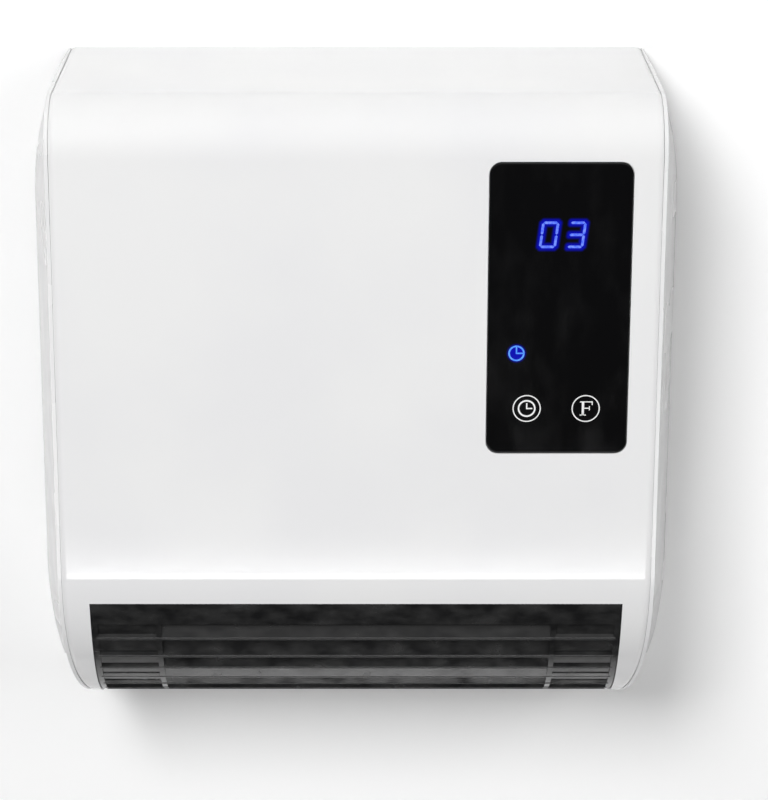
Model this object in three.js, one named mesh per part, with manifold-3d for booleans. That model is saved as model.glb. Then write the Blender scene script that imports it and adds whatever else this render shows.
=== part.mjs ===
// Bathroom wall fan heater: a white moulded housing that hangs on a wall, a touch panel on
// the front, and a crossflow fan that blows through two heating elements and out of a black
// louvred grille in the rounded chin.
// Millimetres. X runs across the front, Y from the room into the wall, Z up. The origin lies
// on the wall plane, in the middle of the back.

import * as THREE from 'three';
import { mergeVertices } from 'three/addons/utils/BufferGeometryUtils.js';
import Module from 'manifold-3d';

const wasm = await Module();
wasm.setup();

// ---------------------------------------------------------------- driving dimensions

const GAP = 0.3; // clearance between pieces that meet
const DEPTH = 104; // wall to front face
const HALF_HEIGHT = 130;
const COVER = {
  halfWidth: 113,
  wall: 2.8,
  edge: 2.4, // rounding where the front turns to the side
  band: 10, // depth of the side return, measured in from the outer skin
  domeRadius: 21.2, // front face to top
  bendZ: -53.5, // where the flat front starts to turn under
  bendRadius: 30,
  bendAngle: 6,
};
const REAR = {
  halfWidth: 129.4, // at the wall, where the sides flare out
  narrow: 113.4, // inner edge, beside the cover
  ledge: 1.2, // how far the front edge of a side stands out from there
  lap: 3, // how far that edge sits behind the cover's skin
  flareStart: -101, // Y at which the flare begins
  flareCurve: 1.5, // power of its hollow curve
  wall: 2.4,
  back: 2.5,
  taperTop: 70, // above this height the flare fades towards the top
  taperTopLength: 60,
  taperTopCurve: 0.85,
  taperFoot: -85, // below this height it fades towards the foot
  taperFootLength: 66,
  foot: 4, // how far the bottom wall sits above the lower edge
  trayHalf: 118, // half width of the recess under the bottom wall
};
const KEYHOLE = { xs: [-60, 60], z: 80, head: 4.6, neck: 2.4, rise: 9, cup: 9, wall: 1.6 };
const CHANNEL = { inner: 8, outer: 70, depth: 8, floor: 2.3, top: 45 }; // air ways behind the back
const INTAKE = { rows: 6, firstZ: -8, pitch: 8, gap: 3.6, halfLength: 13, columns: [24, 54] };
const GRILLE = { halfWidth: 102.7, from: 13.2, to: 80.3, inset: 0.6, shell: 3, openFrom: 20.7,
  openTo: 72, frameSide: 2.2, divider: 76.6, ribs: [-38.5, 0, 38.5], uprightDepth: 8.5 };
const LOUVRE = { first: 26.4, pitch: 6.6, count: 7, depth: 7.8, lean: 5, thick: 1.4 };
const PANEL = { x: 75.6, z: 51.75, width: 52.8, height: 112.5, corner: 4.5, thick: 2, proud: 0.5,
  ledge: 4 };
const SCREW_POST = { x: 105.5, highZ: 100, lowZ: -8, splitY: -60, coverRadius: 4, pilot: 2.1,
  pilotDepth: 14, tubeRadius: 5.5, headBore: 4.2, seat: 5 };
const DUCT = { halfLength: 78, plate: 2, sheet: 1.5, flowAngle: 45 };
const DUCT_FOOT = { x: 86, z: -96, y: -14, half: 5, bore: 1.7 };
const ELEMENT = { fromChin: 59, thick: 14, halfBank: 22, holder: 7.3 };
const FAN = { radius: 22.5, clearance: 4, blades: 20, bladeDepth: 5, halfLength: 74, disc: 2 };
const AXLE = { radius: 2.5, collar: 6 };
const HUB = { radius: 8 };
const SHAFT = { radius: 2, end: 108 };
const BEARING = { radius: 5, length: 3.4 };
const MOTOR = { x: 88, stack: 14, halfWidth: 22, bottom: -20, limbLow: 27, limbHigh: 36, bore: 12.6 };
const BRACKET_X = { inner: 83.4, outer: 104.9 };
const SWITCH = { x: -95, y: -11, halfLength: 9.5, halfWidth: 6.6, swing: 10, bezel: 1.4 };
const GLAND = { x: 95, y: -11, neck: 5.8, flange: 7.8, bore: 3.5 };
const BOARD = { x: -53, z: 82, width: 90, height: 60, y: -20.4, thick: 1.6, bossRadius: 3.5,
  bossBore: 1.6, bossDepth: 11 };

// ---------------------------------------------------------------- materials

const finish = (color, roughness, metalness = 0) =>
  new THREE.MeshStandardMaterial({ color, roughness, metalness });
const white = finish(0xeeeeee, 0.22);
const blackPlastic = finish(0x1c1c1d, 0.38);
const blackGloss = finish(0x0b0b0c, 0.06);
const greyPlastic = finish(0x8d9092, 0.5);
const greenBoard = finish(0x2f6b3c, 0.45);
const steel = finish(0xb4b6b8, 0.35, 0.9);
const aluminium = finish(0xc9cccf, 0.42, 0.9);
const brass = finish(0xb99b52, 0.35, 0.9);
const copper = finish(0xa8623a, 0.4, 0.8);
const rubber = finish(0x242424, 0.85);
const blueBox = finish(0x2b4f9b, 0.4);
const yellowFilm = finish(0xd9b33a, 0.45);
const ceramic = finish(0xe6e0d2, 0.6);
const redWire = finish(0xa32a22, 0.5);
const whiteWire = finish(0xdedede, 0.5);

// ---------------------------------------------------------------- solids and placing

function solidFrom(geometry) {
  const bare = geometry.clone();
  bare.deleteAttribute('normal');
  bare.deleteAttribute('uv');
  const merged = mergeVertices(bare, 1e-4);
  const mesh = new wasm.Mesh({
    numProp: 3,
    vertProperties: new Float32Array(merged.attributes.position.array),
    triVerts: new Uint32Array(merged.index.array),
  });
  return new wasm.Manifold(mesh);
}

const join = (...solids) => solids.reduce((sum, solid) => sum.add(solid));
const cut = (base, ...tools) => base.subtract(join(...tools));

function geometryFrom(solid) {
  const mesh = solid.getMesh();
  const geometry = new THREE.BufferGeometry();
  geometry.setAttribute('position', new THREE.Float32BufferAttribute(mesh.vertProperties, 3));
  geometry.setIndex(Array.from(mesh.triVerts));
  geometry.computeVertexNormals();
  return geometry;
}

function piece(name, solid, material) {
  const mesh = new THREE.Mesh(geometryFrom(solid), material);
  mesh.name = name;
  return mesh;
}

function group(position, rotation, ...members) {
  const holder = new THREE.Group();
  holder.position.set(...position);
  holder.rotation.set(...rotation);
  holder.add(...members);
  return holder;
}

// Points of a circular arc, angles in degrees, anticlockwise from the first axis.
function arc([u, v], radius, from, to, steps) {
  const points = [];
  for (let i = 0; i <= steps; i += 1) {
    const angle = THREE.MathUtils.degToRad(from + ((to - from) * i) / steps);
    points.push([u + radius * Math.cos(angle), v + radius * Math.sin(angle)]);
  }
  return points;
}

function roundedRect(u0, u1, v0, v1, radius, steps = 3) {
  return [
    ...arc([u1 - radius, v1 - radius], radius, 0, 90, steps),
    ...arc([u0 + radius, v1 - radius], radius, 90, 180, steps),
    ...arc([u0 + radius, v0 + radius], radius, 180, 270, steps),
    ...arc([u1 - radius, v0 + radius], radius, 270, 360, steps),
  ];
}

function extrude(outline, depth) {
  const shape = new THREE.Shape(outline.map(([u, v]) => new THREE.Vector2(u, v)));
  return new THREE.ExtrudeGeometry(shape, { depth, steps: 1, bevelEnabled: false });
}

// Outline in (Y, Z), from x0 to x1.
function alongX(outline, x0, x1) {
  const turn = new THREE.Matrix4().set(0, 0, 1, x0, 1, 0, 0, 0, 0, 1, 0, 0, 0, 0, 0, 1);
  return solidFrom(extrude(outline, x1 - x0).applyMatrix4(turn));
}

// Outline in (X, Z), from y0 to y1.
function alongY(outline, y0, y1) {
  const turn = new THREE.Matrix4().set(1, 0, 0, 0, 0, 0, -1, y1, 0, 1, 0, 0, 0, 0, 0, 1);
  return solidFrom(extrude(outline, y1 - y0).applyMatrix4(turn));
}

// Outline in (X, Y), from z0 to z1.
function alongZ(outline, z0, z1) {
  return solidFrom(extrude(outline, z1 - z0).translate(0, 0, z0));
}

function box([x0, x1], [y0, y1], [z0, z1]) {
  const geometry = new THREE.BoxGeometry(x1 - x0, y1 - y0, z1 - z0);
  return solidFrom(geometry.translate((x0 + x1) / 2, (y0 + y1) / 2, (z0 + z1) / 2));
}

const circle = (centre, radius, sides) => arc(centre, radius, 0, 360, sides).slice(0, -1);
const rodX = (y, z, radius, x0, x1, sides = 16) => alongX(circle([y, z], radius, sides), x0, x1);
const rodY = (x, z, radius, y0, y1, sides = 16) => alongY(circle([x, z], radius, sides), y0, y1);
const rodZ = (x, y, radius, z0, z1, sides = 16) => alongZ(circle([x, y], radius, sides), z0, z1);

// A closed solid through rings with the same number of points, capped at both ends.
function loft(rings, flatten) {
  const count = rings[0].length;
  const positions = rings.flat(2);
  const triangles = [];
  for (let r = 0; r < rings.length - 1; r += 1) {
    for (let i = 0; i < count; i += 1) {
      const a = r * count + i;
      const b = r * count + ((i + 1) % count);
      triangles.push([a, b, b + count], [a, b + count, a + count]);
    }
  }
  // A triangle with its corners in the ring's own order turns the same way as the ring.
  const capOf = (ring) => THREE.ShapeUtils.triangulateShape(
    ring.map((point) => new THREE.Vector2(...flatten(point))), [])
    .map((face) => [...face].sort((p, q) => p - q));
  const last = count * (rings.length - 1);
  triangles.push(...capOf(rings[0]).map(([a, b, c]) => [c, b, a]));
  triangles.push(...capOf(rings.at(-1)).map(([a, b, c]) => [a + last, b + last, c + last]));
  const corner = (i) => new THREE.Vector3(...positions.slice(3 * i, 3 * i + 3));
  const volume = triangles.reduce(
    (sum, [a, b, c]) => sum + corner(a).dot(corner(b).cross(corner(c))), 0);
  if (volume < 0) triangles.forEach((triangle) => triangle.reverse());
  const geometry = new THREE.BufferGeometry();
  geometry.setAttribute('position', new THREE.Float32BufferAttribute(positions, 3));
  geometry.setIndex(triangles.flat());
  return solidFrom(geometry);
}

// ---------------------------------------------------------------- side profile of the cover

const domeCentre = [-DEPTH + COVER.domeRadius, HALF_HEIGHT - COVER.domeRadius];
const bendCentre = [-DEPTH + COVER.bendRadius, COVER.bendZ];
const bendSin = Math.sin(THREE.MathUtils.degToRad(COVER.bendAngle));
const bendCos = Math.cos(THREE.MathUtils.degToRad(COVER.bendAngle));
const chinRadius =
  (HALF_HEIGHT + COVER.bendZ - COVER.bendRadius * bendSin) / (1 - bendSin);
const chinCentre = [
  bendCentre[0] + (chinRadius - COVER.bendRadius) * bendCos,
  bendCentre[1] + (chinRadius - COVER.bendRadius) * bendSin,
];

// Outer skin from the top of the dome, down the front and round the chin, set in by `inset`.
function skinLine(inset) {
  return [
    ...arc(domeCentre, COVER.domeRadius - inset, 90, 180, 8),
    ...arc(bendCentre, COVER.bendRadius - inset, 180, 180 + COVER.bendAngle, 2),
    ...arc(chinCentre, chinRadius - inset, 180 + COVER.bendAngle, 270, 14).slice(1),
  ];
}

// The space inside that skin, closed towards the wall. `past` carries it beyond the free edges.
function skinSpace(inset, past) {
  const line = skinLine(inset);
  const closing = past > 0 ? [[chinCentre[0] + past, -HALF_HEIGHT + inset]] : [];
  return [
    [past, HALF_HEIGHT - inset],
    ...line,
    ...closing,
    [chinCentre[0] + past, -HALF_HEIGHT + 2.5 * COVER.band],
    [past, -HALF_HEIGHT + 2.5 * COVER.band],
  ];
}

// A point on the chin at `degrees` below level and at `radius` from the chin's centre.
function chinPoint(radius, degrees) {
  const angle = THREE.MathUtils.degToRad(degrees);
  return [chinCentre[0] - radius * Math.cos(angle), chinCentre[1] - radius * Math.sin(angle)];
}

// A curved slab that follows the chin.
function chinSlab(inner, outer, from, to, x0, x1, steps = 12) {
  const outline = [
    ...arc(chinCentre, outer, 180 + from, 180 + to, steps),
    ...arc(chinCentre, inner, 180 + to, 180 + from, steps),
  ];
  return alongX(outline, x0, x1);
}

// ---------------------------------------------------------------- front cover

function frontCover() {
  const rings = [];
  for (const side of [-1, 1]) {
    const edge = [];
    for (let i = 0; i <= 3; i += 1) {
      const turn = (i / 3) * (Math.PI / 2);
      const x = COVER.halfWidth - COVER.edge * (1 - Math.sin(turn));
      const inset = COVER.edge * (1 - Math.cos(turn));
      edge.push(skinSpace(inset, 0).map(([y, z]) => [side * x, y, z]));
    }
    rings.push(...(side < 0 ? edge.reverse() : edge));
  }
  const block = loft(rings, ([, y, z]) => [y, z]);
  const inside = COVER.halfWidth - COVER.wall;
  const hollow = alongX(skinSpace(COVER.wall, 1), -inside, inside);
  const sideWindow = alongX(skinSpace(COVER.band, 1), -COVER.halfWidth - 1, COVER.halfWidth + 1);
  const outlet = chinSlab(
    chinRadius - 12, chinRadius + 5, GRILLE.from, GRILLE.to, -GRILLE.halfWidth, GRILLE.halfWidth);
  const halfW = PANEL.width / 2 + GAP;
  const halfH = PANEL.height / 2 + GAP;
  const pocket = alongY(
    roundedRect(PANEL.x - halfW, PANEL.x + halfW, PANEL.z - halfH, PANEL.z + halfH,
      PANEL.corner + GAP, 4),
    -DEPTH - 1, -DEPTH + PANEL.thick - PANEL.proud + GAP);
  const ledgeW = halfW - PANEL.ledge;
  const ledgeH = halfH - PANEL.ledge;
  const windowHole = box([PANEL.x - ledgeW, PANEL.x + ledgeW], [-DEPTH - 1, -DEPTH + 5],
    [PANEL.z - ledgeH, PANEL.z + ledgeH]);
  const shell = cut(block, hollow, sideWindow, outlet, pocket, windowHole);
  const { coverRadius, pilot, pilotDepth, splitY } = SCREW_POST;
  const posts = postPlaces().map(([x, z]) =>
    rodY(x, z, coverRadius, -DEPTH + COVER.wall - 0.4, splitY - GAP, 12));
  const pilots = postPlaces().map(([x, z]) =>
    rodY(x, z, pilot, splitY - pilotDepth, splitY + 1, 8));
  return cut(join(shell, ...posts), ...pilots);
}

function postPlaces() {
  const places = [];
  for (const x of [-SCREW_POST.x, SCREW_POST.x]) {
    places.push([x, SCREW_POST.lowZ], [x, SCREW_POST.highZ]);
  }
  return places;
}

// ---------------------------------------------------------------- rear housing

// Share of the flare that is left at one height: whole in the middle, drawn in at both ends.
function flareShare(z) {
  const high = Math.min(1, Math.max(0, (z - REAR.taperTop) / REAR.taperTopLength));
  const low = Math.min(1, Math.max(0, (REAR.taperFoot - z) / REAR.taperFootLength));
  return (1 - high * high) ** REAR.taperTopCurve * Math.sqrt(1 - low * low);
}

// How far a side stands from the middle: a small step, then a hollow curve towards the wall.
function sideAt(y, z) {
  const reach = Math.max(0, 1 - y / REAR.flareStart) ** REAR.flareCurve;
  const flare = REAR.halfWidth - REAR.narrow - REAR.ledge;
  return REAR.narrow + flareShare(z) * (REAR.ledge + flare * reach);
}

function flaredBlock(inset, top, bottom) {
  const footSteps = 4;
  const topSteps = 8;
  const depthSteps = 6;
  const heights = [];
  for (let i = 0; i <= footSteps; i += 1) {
    heights.push(bottom + ((REAR.taperFoot - bottom) * i) / footSteps);
  }
  for (let i = 0; i <= topSteps; i += 1) {
    heights.push(REAR.taperTop + ((top - REAR.taperTop) * i) / topSteps);
  }
  const depths = [];
  for (let i = 0; i <= depthSteps; i += 1) depths.push((REAR.flareStart * i) / depthSteps);
  const rings = [...depths, -DEPTH].map((y) => {
    const widths = heights.map((z) => sideAt(y, z) - inset);
    const right = heights.map((z, i) => [widths[i], y, z]);
    const left = heights.map((z, i) => [-widths[i], y, z]).reverse();
    return [...right, ...left];
  });
  return loft(rings, ([x, , z]) => [x, z]);
}

function rearHousing() {
  const band = COVER.band + GAP;
  const top = HALF_HEIGHT - band;
  const chinEnd = chinCentre[0] + GAP;
  const foot = [[chinEnd, -HALF_HEIGHT], [0, -HALF_HEIGHT]];
  const silhouette = [[0, top], ...skinLine(band), [chinEnd, -HALF_HEIGHT + band], ...foot];
  const sides = [[0, HALF_HEIGHT - REAR.lap], ...skinLine(REAR.lap),
    [chinEnd, -HALF_HEIGHT + REAR.lap], ...foot];
  const wide = REAR.halfWidth + 5;
  const besideCover = COVER.halfWidth + GAP;
  const coverSpace = cut(
    box([-besideCover, besideCover], [-DEPTH - 5, 1], [-HALF_HEIGHT - 5, HALF_HEIGHT + 5]),
    alongX(silhouette, -wide, wide));
  const outer = cut(
    flaredBlock(0, HALF_HEIGHT, -HALF_HEIGHT).intersect(alongX(sides, -wide, wide)), coverSpace);
  const floorTop = -HALF_HEIGHT + REAR.foot + REAR.back;
  const room = flaredBlock(REAR.wall, top, -HALF_HEIGHT).intersect(
    box([-wide, wide], [-DEPTH - 5, -REAR.back], [floorTop, top - REAR.wall]));
  const tray = box([-REAR.trayHalf, REAR.trayHalf], [chinEnd + REAR.wall, -REAR.back],
    [-HALF_HEIGHT - 1, -HALF_HEIGHT + REAR.foot]);
  const inside = COVER.halfWidth - COVER.wall - GAP;
  const crest = box([-inside, inside], [-REAR.back, 0], [top - 1, HALF_HEIGHT - COVER.wall - GAP]);

  const channelOuter = CHANNEL.outer + CHANNEL.floor;
  const channelBack = -CHANNEL.depth - CHANNEL.floor;
  const trunk = box([-channelOuter, channelOuter], [channelBack, -1],
    [floorTop - 1, CHANNEL.top + CHANNEL.floor]);
  const channels = [[-CHANNEL.outer, -CHANNEL.inner], [CHANNEL.inner, CHANNEL.outer]].map((span) =>
    box(span, [-CHANNEL.depth, 1], [-HALF_HEIGHT - 1, CHANNEL.top]));
  const ribHalf = CHANNEL.inner - REAR.wall;
  const ribHollow = box([-ribHalf, ribHalf], [channelBack - 1, -REAR.back],
    [floorTop, CHANNEL.top]);

  const { splitY, seat, tubeRadius, headBore, pilot } = SCREW_POST;
  const tubes = postPlaces().map(([x, z]) => rodY(x, z, tubeRadius, splitY, -1, 12));
  const tubeBores = postPlaces().map(([x, z]) => join(
    rodY(x, z, headBore, splitY + seat, 1, 12),
    rodY(x, z, pilot, splitY - 1, splitY + seat + 1, 8)));
  const bosses = boardScrewPlaces().map(([x, z]) =>
    rodY(x, z, BOARD.bossRadius, BOARD.y + GAP, -1, 10));
  const bossBores = boardScrewPlaces().map(([x, z]) =>
    rodY(x, z, BOARD.bossBore, BOARD.y - 1, BOARD.y + BOARD.bossDepth, 8));
  const ductFeet = [-1, 1].map((side) => footBlock(side));
  const footBores = [-1, 1].map((side) =>
    rodY(side * DUCT_FOOT.x, DUCT_FOOT.z, DUCT_FOOT.bore, DUCT_FOOT.y - 1, -REAR.back - 2, 8));

  // A cup over each keyhole keeps the hook's head away from the live parts.
  const keyBlock = (x, inset, y1) => box(
    [x - KEYHOLE.cup + inset, x + KEYHOLE.cup - inset], [-10 + inset, y1],
    [KEYHOLE.z - 8 + inset, KEYHOLE.z + 16 - inset]);
  const keyCups = KEYHOLE.xs.map((x) => keyBlock(x, 0, -1));
  const keyRooms = KEYHOLE.xs.map((x) => keyBlock(x, KEYHOLE.wall, -REAR.back));
  const keyHoles = KEYHOLE.xs.map((x) => join(
    rodY(x, KEYHOLE.z, KEYHOLE.head, -REAR.back - 1, 1, 16),
    alongY([...arc([x, KEYHOLE.z + KEYHOLE.rise], KEYHOLE.neck, 0, 180, 6),
      [x - KEYHOLE.neck, KEYHOLE.z], [x + KEYHOLE.neck, KEYHOLE.z]], -REAR.back - 1, 1)));

  const slots = [];
  for (let row = 0; row < INTAKE.rows; row += 1) {
    for (const column of INTAKE.columns) {
      for (const x of [-column, column]) {
        const z = INTAKE.firstZ + row * INTAKE.pitch;
        slots.push(box([x - INTAKE.halfLength, x + INTAKE.halfLength],
          [channelBack - 1, -CHANNEL.depth + 1], [z, z + INTAKE.gap]));
      }
    }
  }
  const switchHole = box(
    [SWITCH.x - SWITCH.halfLength - GAP, SWITCH.x + SWITCH.halfLength + GAP],
    [SWITCH.y - SWITCH.halfWidth - GAP, SWITCH.y + SWITCH.halfWidth + GAP],
    [-HALF_HEIGHT - 1, floorTop + 1]);
  const glandHole = rodZ(GLAND.x, GLAND.y, GLAND.neck + GAP, -HALF_HEIGHT - 1, floorTop + 1, 16);

  const shell = cut(join(outer, crest), room, tray);
  const body = join(shell, trunk, ...tubes, ...bosses, ...ductFeet, ...keyCups);
  return cut(body, ...channels, ribHollow, ...tubeBores, ...bossBores, ...footBores, ...keyRooms,
    ...keyHoles, ...slots, switchHole, glandHole);
}

function footBlock(side) {
  const { x, y, z, half } = DUCT_FOOT;
  return box([side * x - half, side * x + half], [y, -1], [z - half, z + half]);
}

function boardScrewPlaces() {
  const places = [];
  for (const x of [BOARD.x - BOARD.width / 2 + 5, BOARD.x + BOARD.width / 2 - 5]) {
    for (const z of [BOARD.z - BOARD.height / 2 + 5, BOARD.z + BOARD.height / 2 - 5]) {
      places.push([x, z]);
    }
  }
  return places;
}

// ---------------------------------------------------------------- outlet grille

function outletGrille() {
  const { divider, ribs, uprightDepth } = GRILLE;
  const skin = chinRadius - GRILLE.inset;
  const width = GRILLE.halfWidth - GAP;
  const opening = width - GRILLE.frameSide;
  const frame = chinSlab(skin - GRILLE.shell, skin, GRILLE.from + 0.3, GRILLE.to - 0.3,
    -width, width);
  const windows = [[-divider + 1, divider - 1], [divider + 1, opening], [-opening, -divider - 1]]
    .map(([x0, x1]) => chinSlab(skin - 9, skin + 4, GRILLE.openFrom, GRILLE.openTo, x0, x1));
  const behind = (inner, outer, x0, x1) =>
    chinSlab(skin - inner, skin - outer, GRILLE.openFrom - 1, GRILLE.openTo + 1, x0, x1);
  const blindPanels = [[divider - 0.5, width - 1], [-width + 1, -divider + 0.5]]
    .map(([x0, x1]) => behind(5, 2.6, x0, x1));
  const dividers = [-divider, divider].map((x) => behind(uprightDepth, 0.2, x - 1, x + 1));
  const thinRibs = ribs.map((x) => behind(uprightDepth, 3.5, x - 0.8, x + 0.8));
  const blades = [];
  for (let i = 0; i < LOUVRE.count; i += 1) {
    const degrees = LOUVRE.first + i * LOUVRE.pitch;
    const front = chinPoint(skin - 0.4, degrees);
    const rear = chinPoint(skin - LOUVRE.depth, degrees - LOUVRE.lean);
    blades.push(alongX(sheetOutline([front, rear], LOUVRE.thick), -width + 1.5, width - 1.5));
  }
  return join(cut(frame, ...windows), ...blindPanels, ...dividers, ...thinRibs, ...blades);
}

// The outline of a bent sheet: a line of points, thickened to one side of its direction.
function sheetOutline(line, thick) {
  const normals = line.map((point, i) => {
    const before = line[Math.max(0, i - 1)];
    const after = line[Math.min(line.length - 1, i + 1)];
    const along = new THREE.Vector2(after[0] - before[0], after[1] - before[1]).normalize();
    return [-along.y, along.x];
  });
  const other = line.map(([y, z], i) => [y + normals[i][0] * thick, z + normals[i][1] * thick]);
  return [...line, ...other.reverse()];
}

// ---------------------------------------------------------------- control panel

// Built round the middle of the lens, on the plane of the front face.
function controlPanel() {
  const halfW = PANEL.width / 2;
  const halfH = PANEL.height / 2;
  const lens = alongY(roundedRect(-halfW, halfW, -halfH, halfH, PANEL.corner, 4),
    -PANEL.proud, PANEL.thick - PANEL.proud);
  const inner = COVER.wall + GAP; // behind the cover's wall
  const frameBack = 11.4;
  const frame = cut(
    box([-halfW + 1.4, halfW - 1.4], [inner, frameBack], [-halfH + 1.2, halfH - 1.2]),
    box([-halfW + 5.4, halfW - 5.4], [inner - 1, frameBack + 1], [-halfH + 5.2, halfH - 5.2]));
  const boardFront = frameBack + GAP;
  const pcb = box([-halfW + 2, halfW - 2], [boardFront, boardFront + BOARD.thick],
    [-halfH + 2, halfH - 2]);
  const boardHoles = displayScrewPlaces().map(([x, z]) =>
    rodY(x, z, 1.3, boardFront - 1, boardFront + 3, 8));
  const frameHoles = displayScrewPlaces().map(([x, z]) =>
    rodY(x, z, 1.3, frameBack - 5, frameBack + 1, 8));
  const front = PANEL.thick - PANEL.proud + GAP;
  const back = boardFront - GAP;
  const digitX = 0.9;
  const digitZ = 29.05;
  const digits = cut(
    box([digitX - 13, digitX + 13], [front, back], [digitZ - 8.5, digitZ + 8.5]),
    box([digitX - 4, digitX + 4], [back - 1, back + 1], [digitZ - 4, digitZ + 4]));
  const indicator = rodY(-15.55, -16.75, 3, front, back, 12);
  const keyZ = -38.4;
  const spring = (x) => cut(
    rodY(x, keyZ, 5, front, back, 12), rodY(x, keyZ, 3.4, front + 1, back + 1, 12));
  const screwSeat = boardFront + BOARD.thick + GAP;
  return group([PANEL.x, -DEPTH, PANEL.z], [0, 0, 0],
    piece('control_lens', lens, blackGloss),
    piece('control_frame', cut(frame, ...frameHoles), blackPlastic),
    piece('display_board', cut(pcb, ...boardHoles), greenBoard),
    piece('digit_display', digits, greyPlastic),
    piece('timer_indicator', indicator, whiteWire),
    piece('timer_touch_spring', spring(-11.45), steel),
    piece('function_touch_spring', spring(10.75), steel),
    ...displayScrewPlaces().map(([x, z], i) =>
      piece(`display_screw_${i + 1}`, screwY(x, z, screwSeat, 1, 4.2, 2.2, 1.5), steel)));
}

function displayScrewPlaces() {
  return [[-PANEL.width / 2 + 3.4, 0], [PANEL.width / 2 - 3.4, 0]];
}

// A pan head screw along Y: the head's seat is at y, and the shank points to the front.
function screwY(x, z, y, shank, length, head, headHeight) {
  return join(
    rodY(x, z, shank, y - length, y + 0.5, 8),
    rodY(x, z, head, y, y + headHeight, 10));
}

// ---------------------------------------------------------------- fan and motor

const flow = [-Math.cos(THREE.MathUtils.degToRad(DUCT.flowAngle)),
  -Math.sin(THREE.MathUtils.degToRad(DUCT.flowAngle))];
const elementCentre = chinPoint(ELEMENT.fromChin, DUCT.flowAngle);
const fanCentre = chinPoint(
  ELEMENT.fromChin - ELEMENT.thick / 2 - FAN.clearance - FAN.radius, DUCT.flowAngle);

// Built round the fan's axis, which runs along X.
function impeller() {
  const discs = [-FAN.halfLength, -FAN.disc / 2, FAN.halfLength - FAN.disc].map((x) =>
    rodX(0, 0, FAN.radius, x, x + FAN.disc, 30));
  // One blade's section: radius and angle of its corners.
  const blade = [[FAN.radius - 0.4, 0], [FAN.radius - 2.6, 5], [FAN.radius - FAN.bladeDepth, 6.5],
    [FAN.radius - FAN.bladeDepth, 9.5], [FAN.radius - 2.4, 8], [FAN.radius - 0.4, 2.6]];
  const blades = [];
  for (let i = 0; i < FAN.blades; i += 1) {
    const turn = (360 / FAN.blades) * i;
    const outline = blade.map(([radius, angle]) => {
      const a = THREE.MathUtils.degToRad(turn + angle);
      return [radius * Math.cos(a), radius * Math.sin(a)];
    });
    blades.push(alongX(outline, -FAN.halfLength + 0.5, FAN.halfLength - 0.5));
  }
  const centreHole = rodX(0, 0, 12, -FAN.disc, FAN.disc, 16);
  const axleHole = rodX(0, 0, AXLE.radius + GAP, -FAN.halfLength - 1, -FAN.halfLength + 4, 12);
  const hubHole = rodX(0, 0, HUB.radius + GAP, FAN.halfLength - 4, FAN.halfLength + 1, 16);
  return cut(join(...discs, ...blades), centreHole, axleHole, hubHole);
}

function impellerAxle() {
  const inner = -FAN.halfLength + FAN.disc + GAP;
  return join(
    rodX(0, 0, AXLE.radius, -DUCT.halfLength - 8, inner + 1, 12),
    rodX(0, 0, AXLE.collar, inner, inner + 3, 12));
}

function driveHub() {
  const inner = FAN.halfLength - FAN.disc - GAP;
  const body = join(
    rodX(0, 0, HUB.radius, inner - 1, FAN.halfLength + 1.5, 16),
    rodX(0, 0, HUB.radius + 2.5, inner - 5, inner, 16));
  return cut(body, rodX(0, 0, SHAFT.radius + GAP, inner - 2, FAN.halfLength + 3, 12));
}

function sleeve(radius, bore, x0, x1) {
  return cut(rodX(0, 0, radius, x0, x1, 16), rodX(0, 0, bore, x0 - 1, x1 + 1, 12));
}

function motorRotor() {
  const x0 = MOTOR.x - 0.5;
  const x1 = MOTOR.x + MOTOR.stack + 0.5;
  return cut(
    rodX(0, 0, MOTOR.bore - 0.6, x0, x1, 24), rodX(0, 0, SHAFT.radius + GAP, x0 - 1, x1 + 1, 12));
}

function motorStator() {
  const { x, stack, halfWidth, bottom, limbHigh, limbLow, bore } = MOTOR;
  const outline = roundedRect(-halfWidth, halfWidth, bottom, limbHigh, 3, 2);
  const window = box([x - 1, x + stack + 1], [-12, 12], [16, limbLow]);
  const holes = motorScrewPlaces().map(([y, z]) => rodX(y, z, 1.9, x - 1, x + stack + 1, 8));
  const rotorBore = rodX(0, 0, bore, x - 1, x + stack + 1, 24);
  return cut(alongX(outline, x, x + stack), rotorBore, window, ...holes);
}

const motorScrewPlaces = () => [[-17.5, 0], [17.5, 0]];

function motorCoil() {
  const { x, stack, limbHigh, limbLow } = MOTOR;
  const winding = 8.4;
  const outer = alongY(
    roundedRect(x - 6.2, x + stack + 6.2, limbLow - winding, limbHigh + winding, 3, 2), -11, 11);
  return cut(outer, box([x - GAP, x + stack + GAP], [-12, 12], [limbLow - GAP, limbHigh + GAP]));
}

function motorBracket(x0, side) {
  const strap = 1.5;
  const plate = alongX(roundedRect(-21, 21, -8, 8, 3, 2), x0, x0 + strap);
  const stackFace = side < 0 ? MOTOR.x - GAP : MOTOR.x + MOTOR.stack + GAP;
  const from = side < 0 ? x0 : stackFace;
  const to = side < 0 ? stackFace : x0 + strap;
  const bosses = motorScrewPlaces().map(([y, z]) => rodX(y, z, 3.6, from, to, 10));
  const holes = motorScrewPlaces().map(([y, z]) => rodX(y, z, 1.9, from - 1, to + 1, 8));
  const bearingSeat = rodX(0, 0, BEARING.radius + GAP, x0 - 1, x0 + strap + 1, 16);
  return cut(join(plate, ...bosses), bearingSeat, ...holes);
}

function motorBearing(x0) {
  const x = x0 + 0.75 - BEARING.length / 2;
  return sleeve(BEARING.radius, SHAFT.radius + GAP, x, x + BEARING.length);
}

function screwX(y, z, x0, x1, shank, head) {
  return join(rodX(y, z, shank, x0, x1 + 0.5, 8), rodX(y, z, head, x1, x1 + 2, 10));
}

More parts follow.
